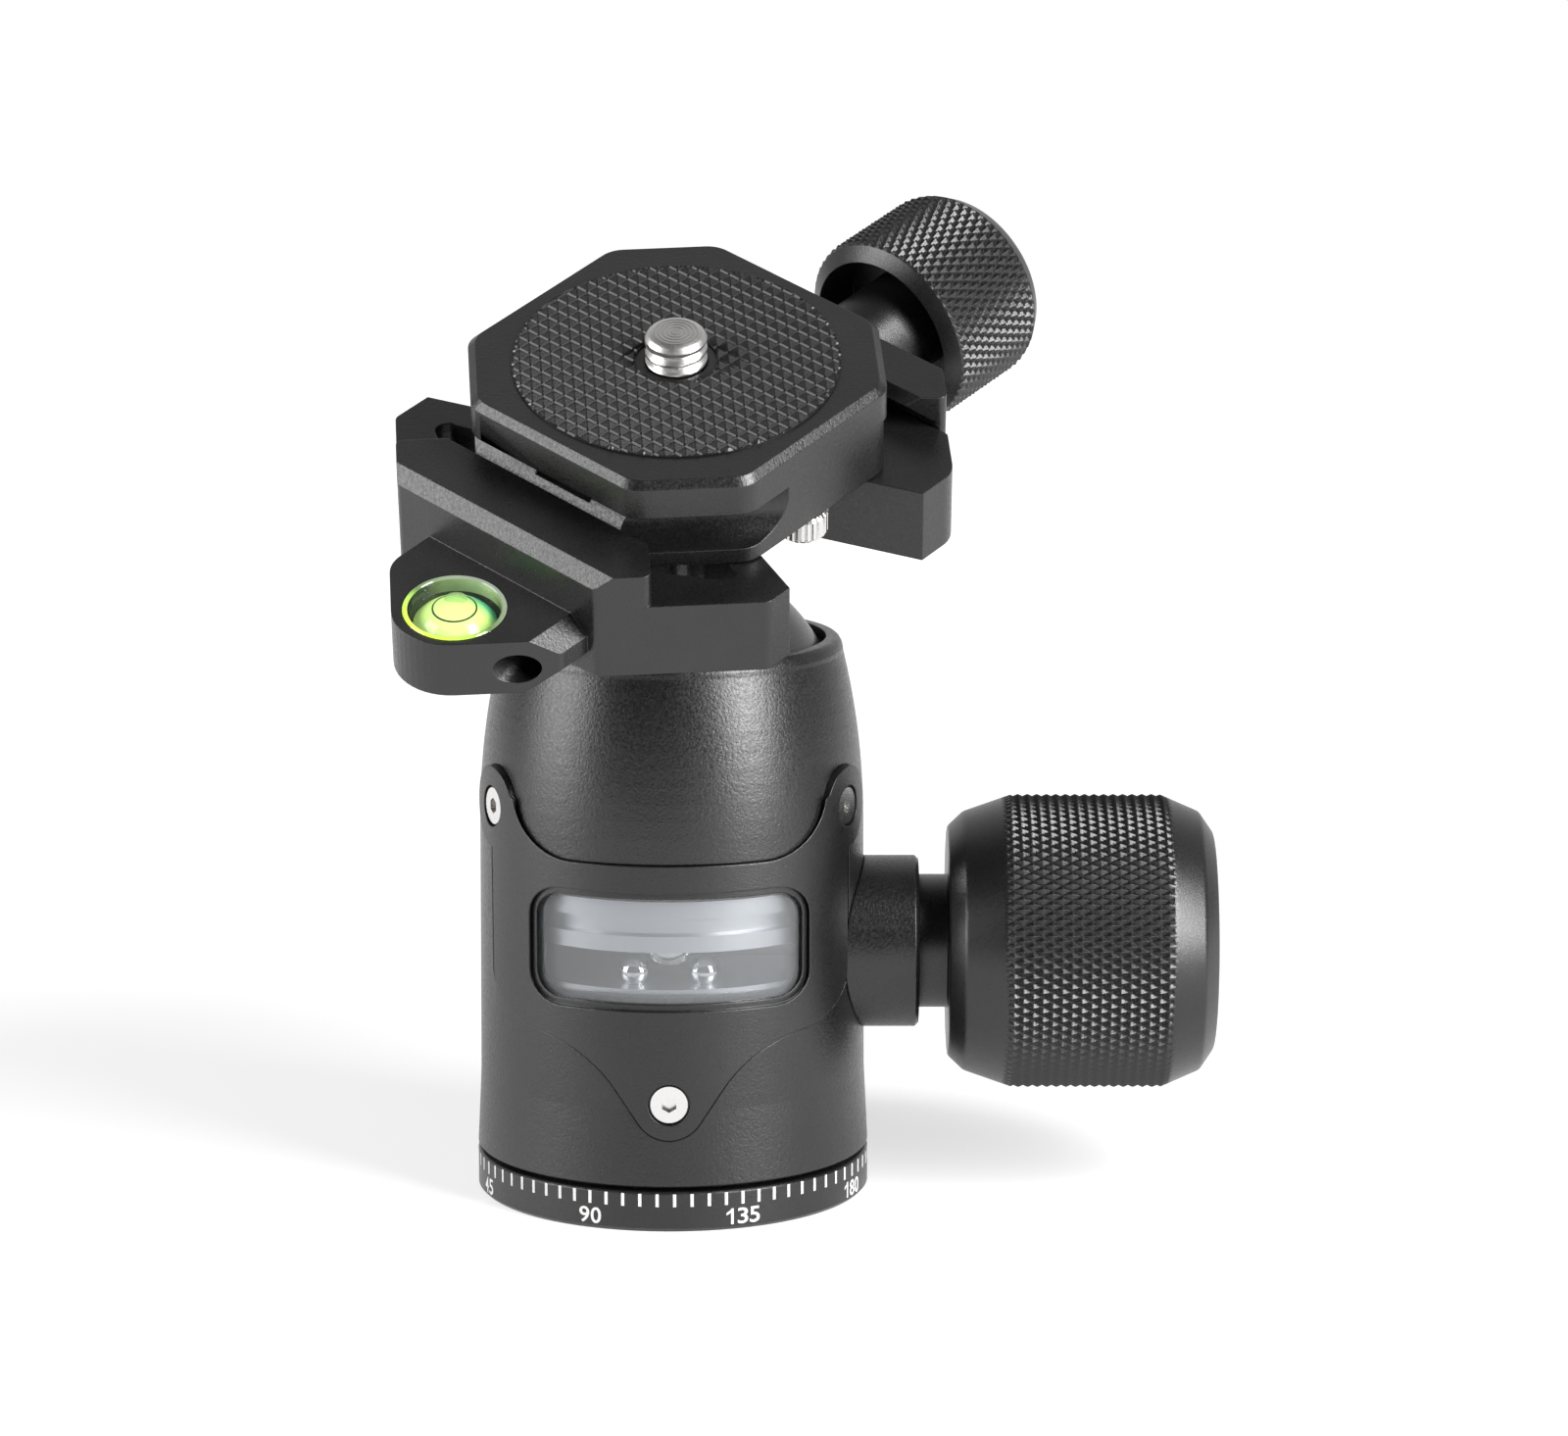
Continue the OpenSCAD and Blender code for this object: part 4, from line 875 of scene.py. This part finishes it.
# ---- Table, light and camera ----
# A white table that runs into a white room, one large soft light at each side, and the
# camera a little above the head, looking down at it.
TABLE_R = 0.9
GLOW_FROM, GLOW_TO, GLOW_NEAR, GLOW_FAR = 0.10, 0.45, 0.62, 1.0
ROOM_FROM, ROOM_TO, ROOM_DARK, ROOM_BRIGHT = -0.05, 1.2, 0.05, 1.0
ROOM_LIGHT = 0.15
CAMERA_AT, CAMERA_PITCH, LENS = (0.0120, -0.609, 0.1651), 79.38, 133.3
bm = bmesh.new()
bmesh.ops.create_circle(bm, cap_ends=True, segments=96, radius=TABLE_R)
table_mesh = bpy.data.meshes.new("table")
bm.to_mesh(table_mesh)
bm.free()
table = bpy.data.objects.new("table", table_mesh)
bpy.context.scene.collection.objects.link(table)
paper = bpy.data.materials.new("white_paper")
paper.use_nodes = True
tree = paper.node_tree
shader = tree.nodes["Principled BSDF"]
shader.inputs["Base Color"].default_value = (0.45, 0.45, 0.45, 1)
shader.inputs["Roughness"].default_value = 0.8
shader.inputs["Specular IOR Level"].default_value = 0.1
shader.inputs["Emission Color"].default_value = (1, 1, 1, 1)


def seen_directly(tree):
    """1 for what the camera sees, also in metal and through glass, and 0 for the light on the object."""
    path = tree.nodes.new("ShaderNodeLightPath")
    total = None
    for ray in ("Is Camera Ray", "Is Glossy Ray", "Is Transmission Ray"):
        if total is None:
            total = path.outputs[ray]
            continue
        either = tree.nodes.new("ShaderNodeMath")
        either.operation = "MAXIMUM"
        tree.links.new(total, either.inputs[0])
        tree.links.new(path.outputs[ray], either.inputs[1])
        total = either.outputs[0]
    return total


where = tree.nodes.new("ShaderNodeTexCoord")
distance = tree.nodes.new("ShaderNodeVectorMath")
distance.operation = "LENGTH"
tree.links.new(where.outputs["Object"], distance.inputs[0])
glow = tree.nodes.new("ShaderNodeMapRange")
glow.inputs["From Min"].default_value = GLOW_FROM
glow.inputs["From Max"].default_value = GLOW_TO
glow.inputs["To Min"].default_value = GLOW_NEAR
glow.inputs["To Max"].default_value = GLOW_FAR
tree.links.new(distance.outputs["Value"], glow.inputs["Value"])
lift = tree.nodes.new("ShaderNodeMath")
lift.operation = "MULTIPLY"
tree.links.new(seen_directly(tree), lift.inputs[0])
tree.links.new(glow.outputs["Result"], lift.inputs[1])
tree.links.new(lift.outputs[0], shader.inputs["Emission Strength"])
table_mesh.materials.append(paper)

world = bpy.data.worlds.new("studio")
bpy.context.scene.world = world
world.use_nodes = True
tree = world.node_tree
sky = tree.nodes["Background"]
sky.inputs["Color"].default_value = (1, 1, 1, 1)
where = tree.nodes.new("ShaderNodeTexCoord")
split = tree.nodes.new("ShaderNodeSeparateXYZ")
tree.links.new(where.outputs["Generated"], split.inputs[0])
room = tree.nodes.new("ShaderNodeMapRange")
room.inputs["From Min"].default_value = ROOM_FROM
room.inputs["From Max"].default_value = ROOM_TO
room.inputs["To Min"].default_value = ROOM_DARK
room.inputs["To Max"].default_value = ROOM_BRIGHT
tree.links.new(split.outputs["Y"], room.inputs["Value"])
path = tree.nodes.new("ShaderNodeLightPath")
by_ray = tree.nodes.new("ShaderNodeMix")
tree.links.new(path.outputs["Is Glossy Ray"], by_ray.inputs["Factor"])
by_ray.inputs["A"].default_value = ROOM_LIGHT
tree.links.new(room.outputs["Result"], by_ray.inputs["B"])
seen = tree.nodes.new("ShaderNodeMath")
seen.operation = "MAXIMUM"
tree.links.new(path.outputs["Is Camera Ray"], seen.inputs[0])
tree.links.new(path.outputs["Is Transmission Ray"], seen.inputs[1])
strength = tree.nodes.new("ShaderNodeMath")
strength.operation = "MAXIMUM"
tree.links.new(seen.outputs[0], strength.inputs[0])
tree.links.new(by_ray.outputs["Result"], strength.inputs[1])
tree.links.new(strength.outputs[0], sky.inputs["Strength"])


def softbox(name, at, towards, width, height, watts):
    """A soft rectangular light that faces the head."""
    lamp = bpy.data.lights.new(name, "AREA")
    lamp.shape = "RECTANGLE"
    lamp.size, lamp.size_y = width, height
    lamp.energy = watts
    light = bpy.data.objects.new(name, lamp)
    bpy.context.scene.collection.objects.link(light)
    light.location = at
    light.rotation_euler = (Vector(towards) - Vector(at)).to_track_quat("-Z", "Y").to_euler()
    return light


middle = (0, 0, 0.05)
softbox("left_softbox", (-0.50, -0.16, 0.24), middle, 0.34, 0.46, 3.6)
softbox("right_softbox", (0.39, -0.33, 0.29), middle, 0.22, 0.50, 7.0)

camera_data = bpy.data.cameras.new("camera")
camera_data.sensor_width = 36
camera_data.lens = LENS
camera_data.clip_start = 0.01
camera = bpy.data.objects.new("camera", camera_data)
bpy.context.scene.collection.objects.link(camera)
camera.location = CAMERA_AT
camera.rotation_euler = (radians(CAMERA_PITCH), 0, 0)
bpy.context.scene.camera = camera
bpy.context.scene.view_settings.view_transform = "Standard"
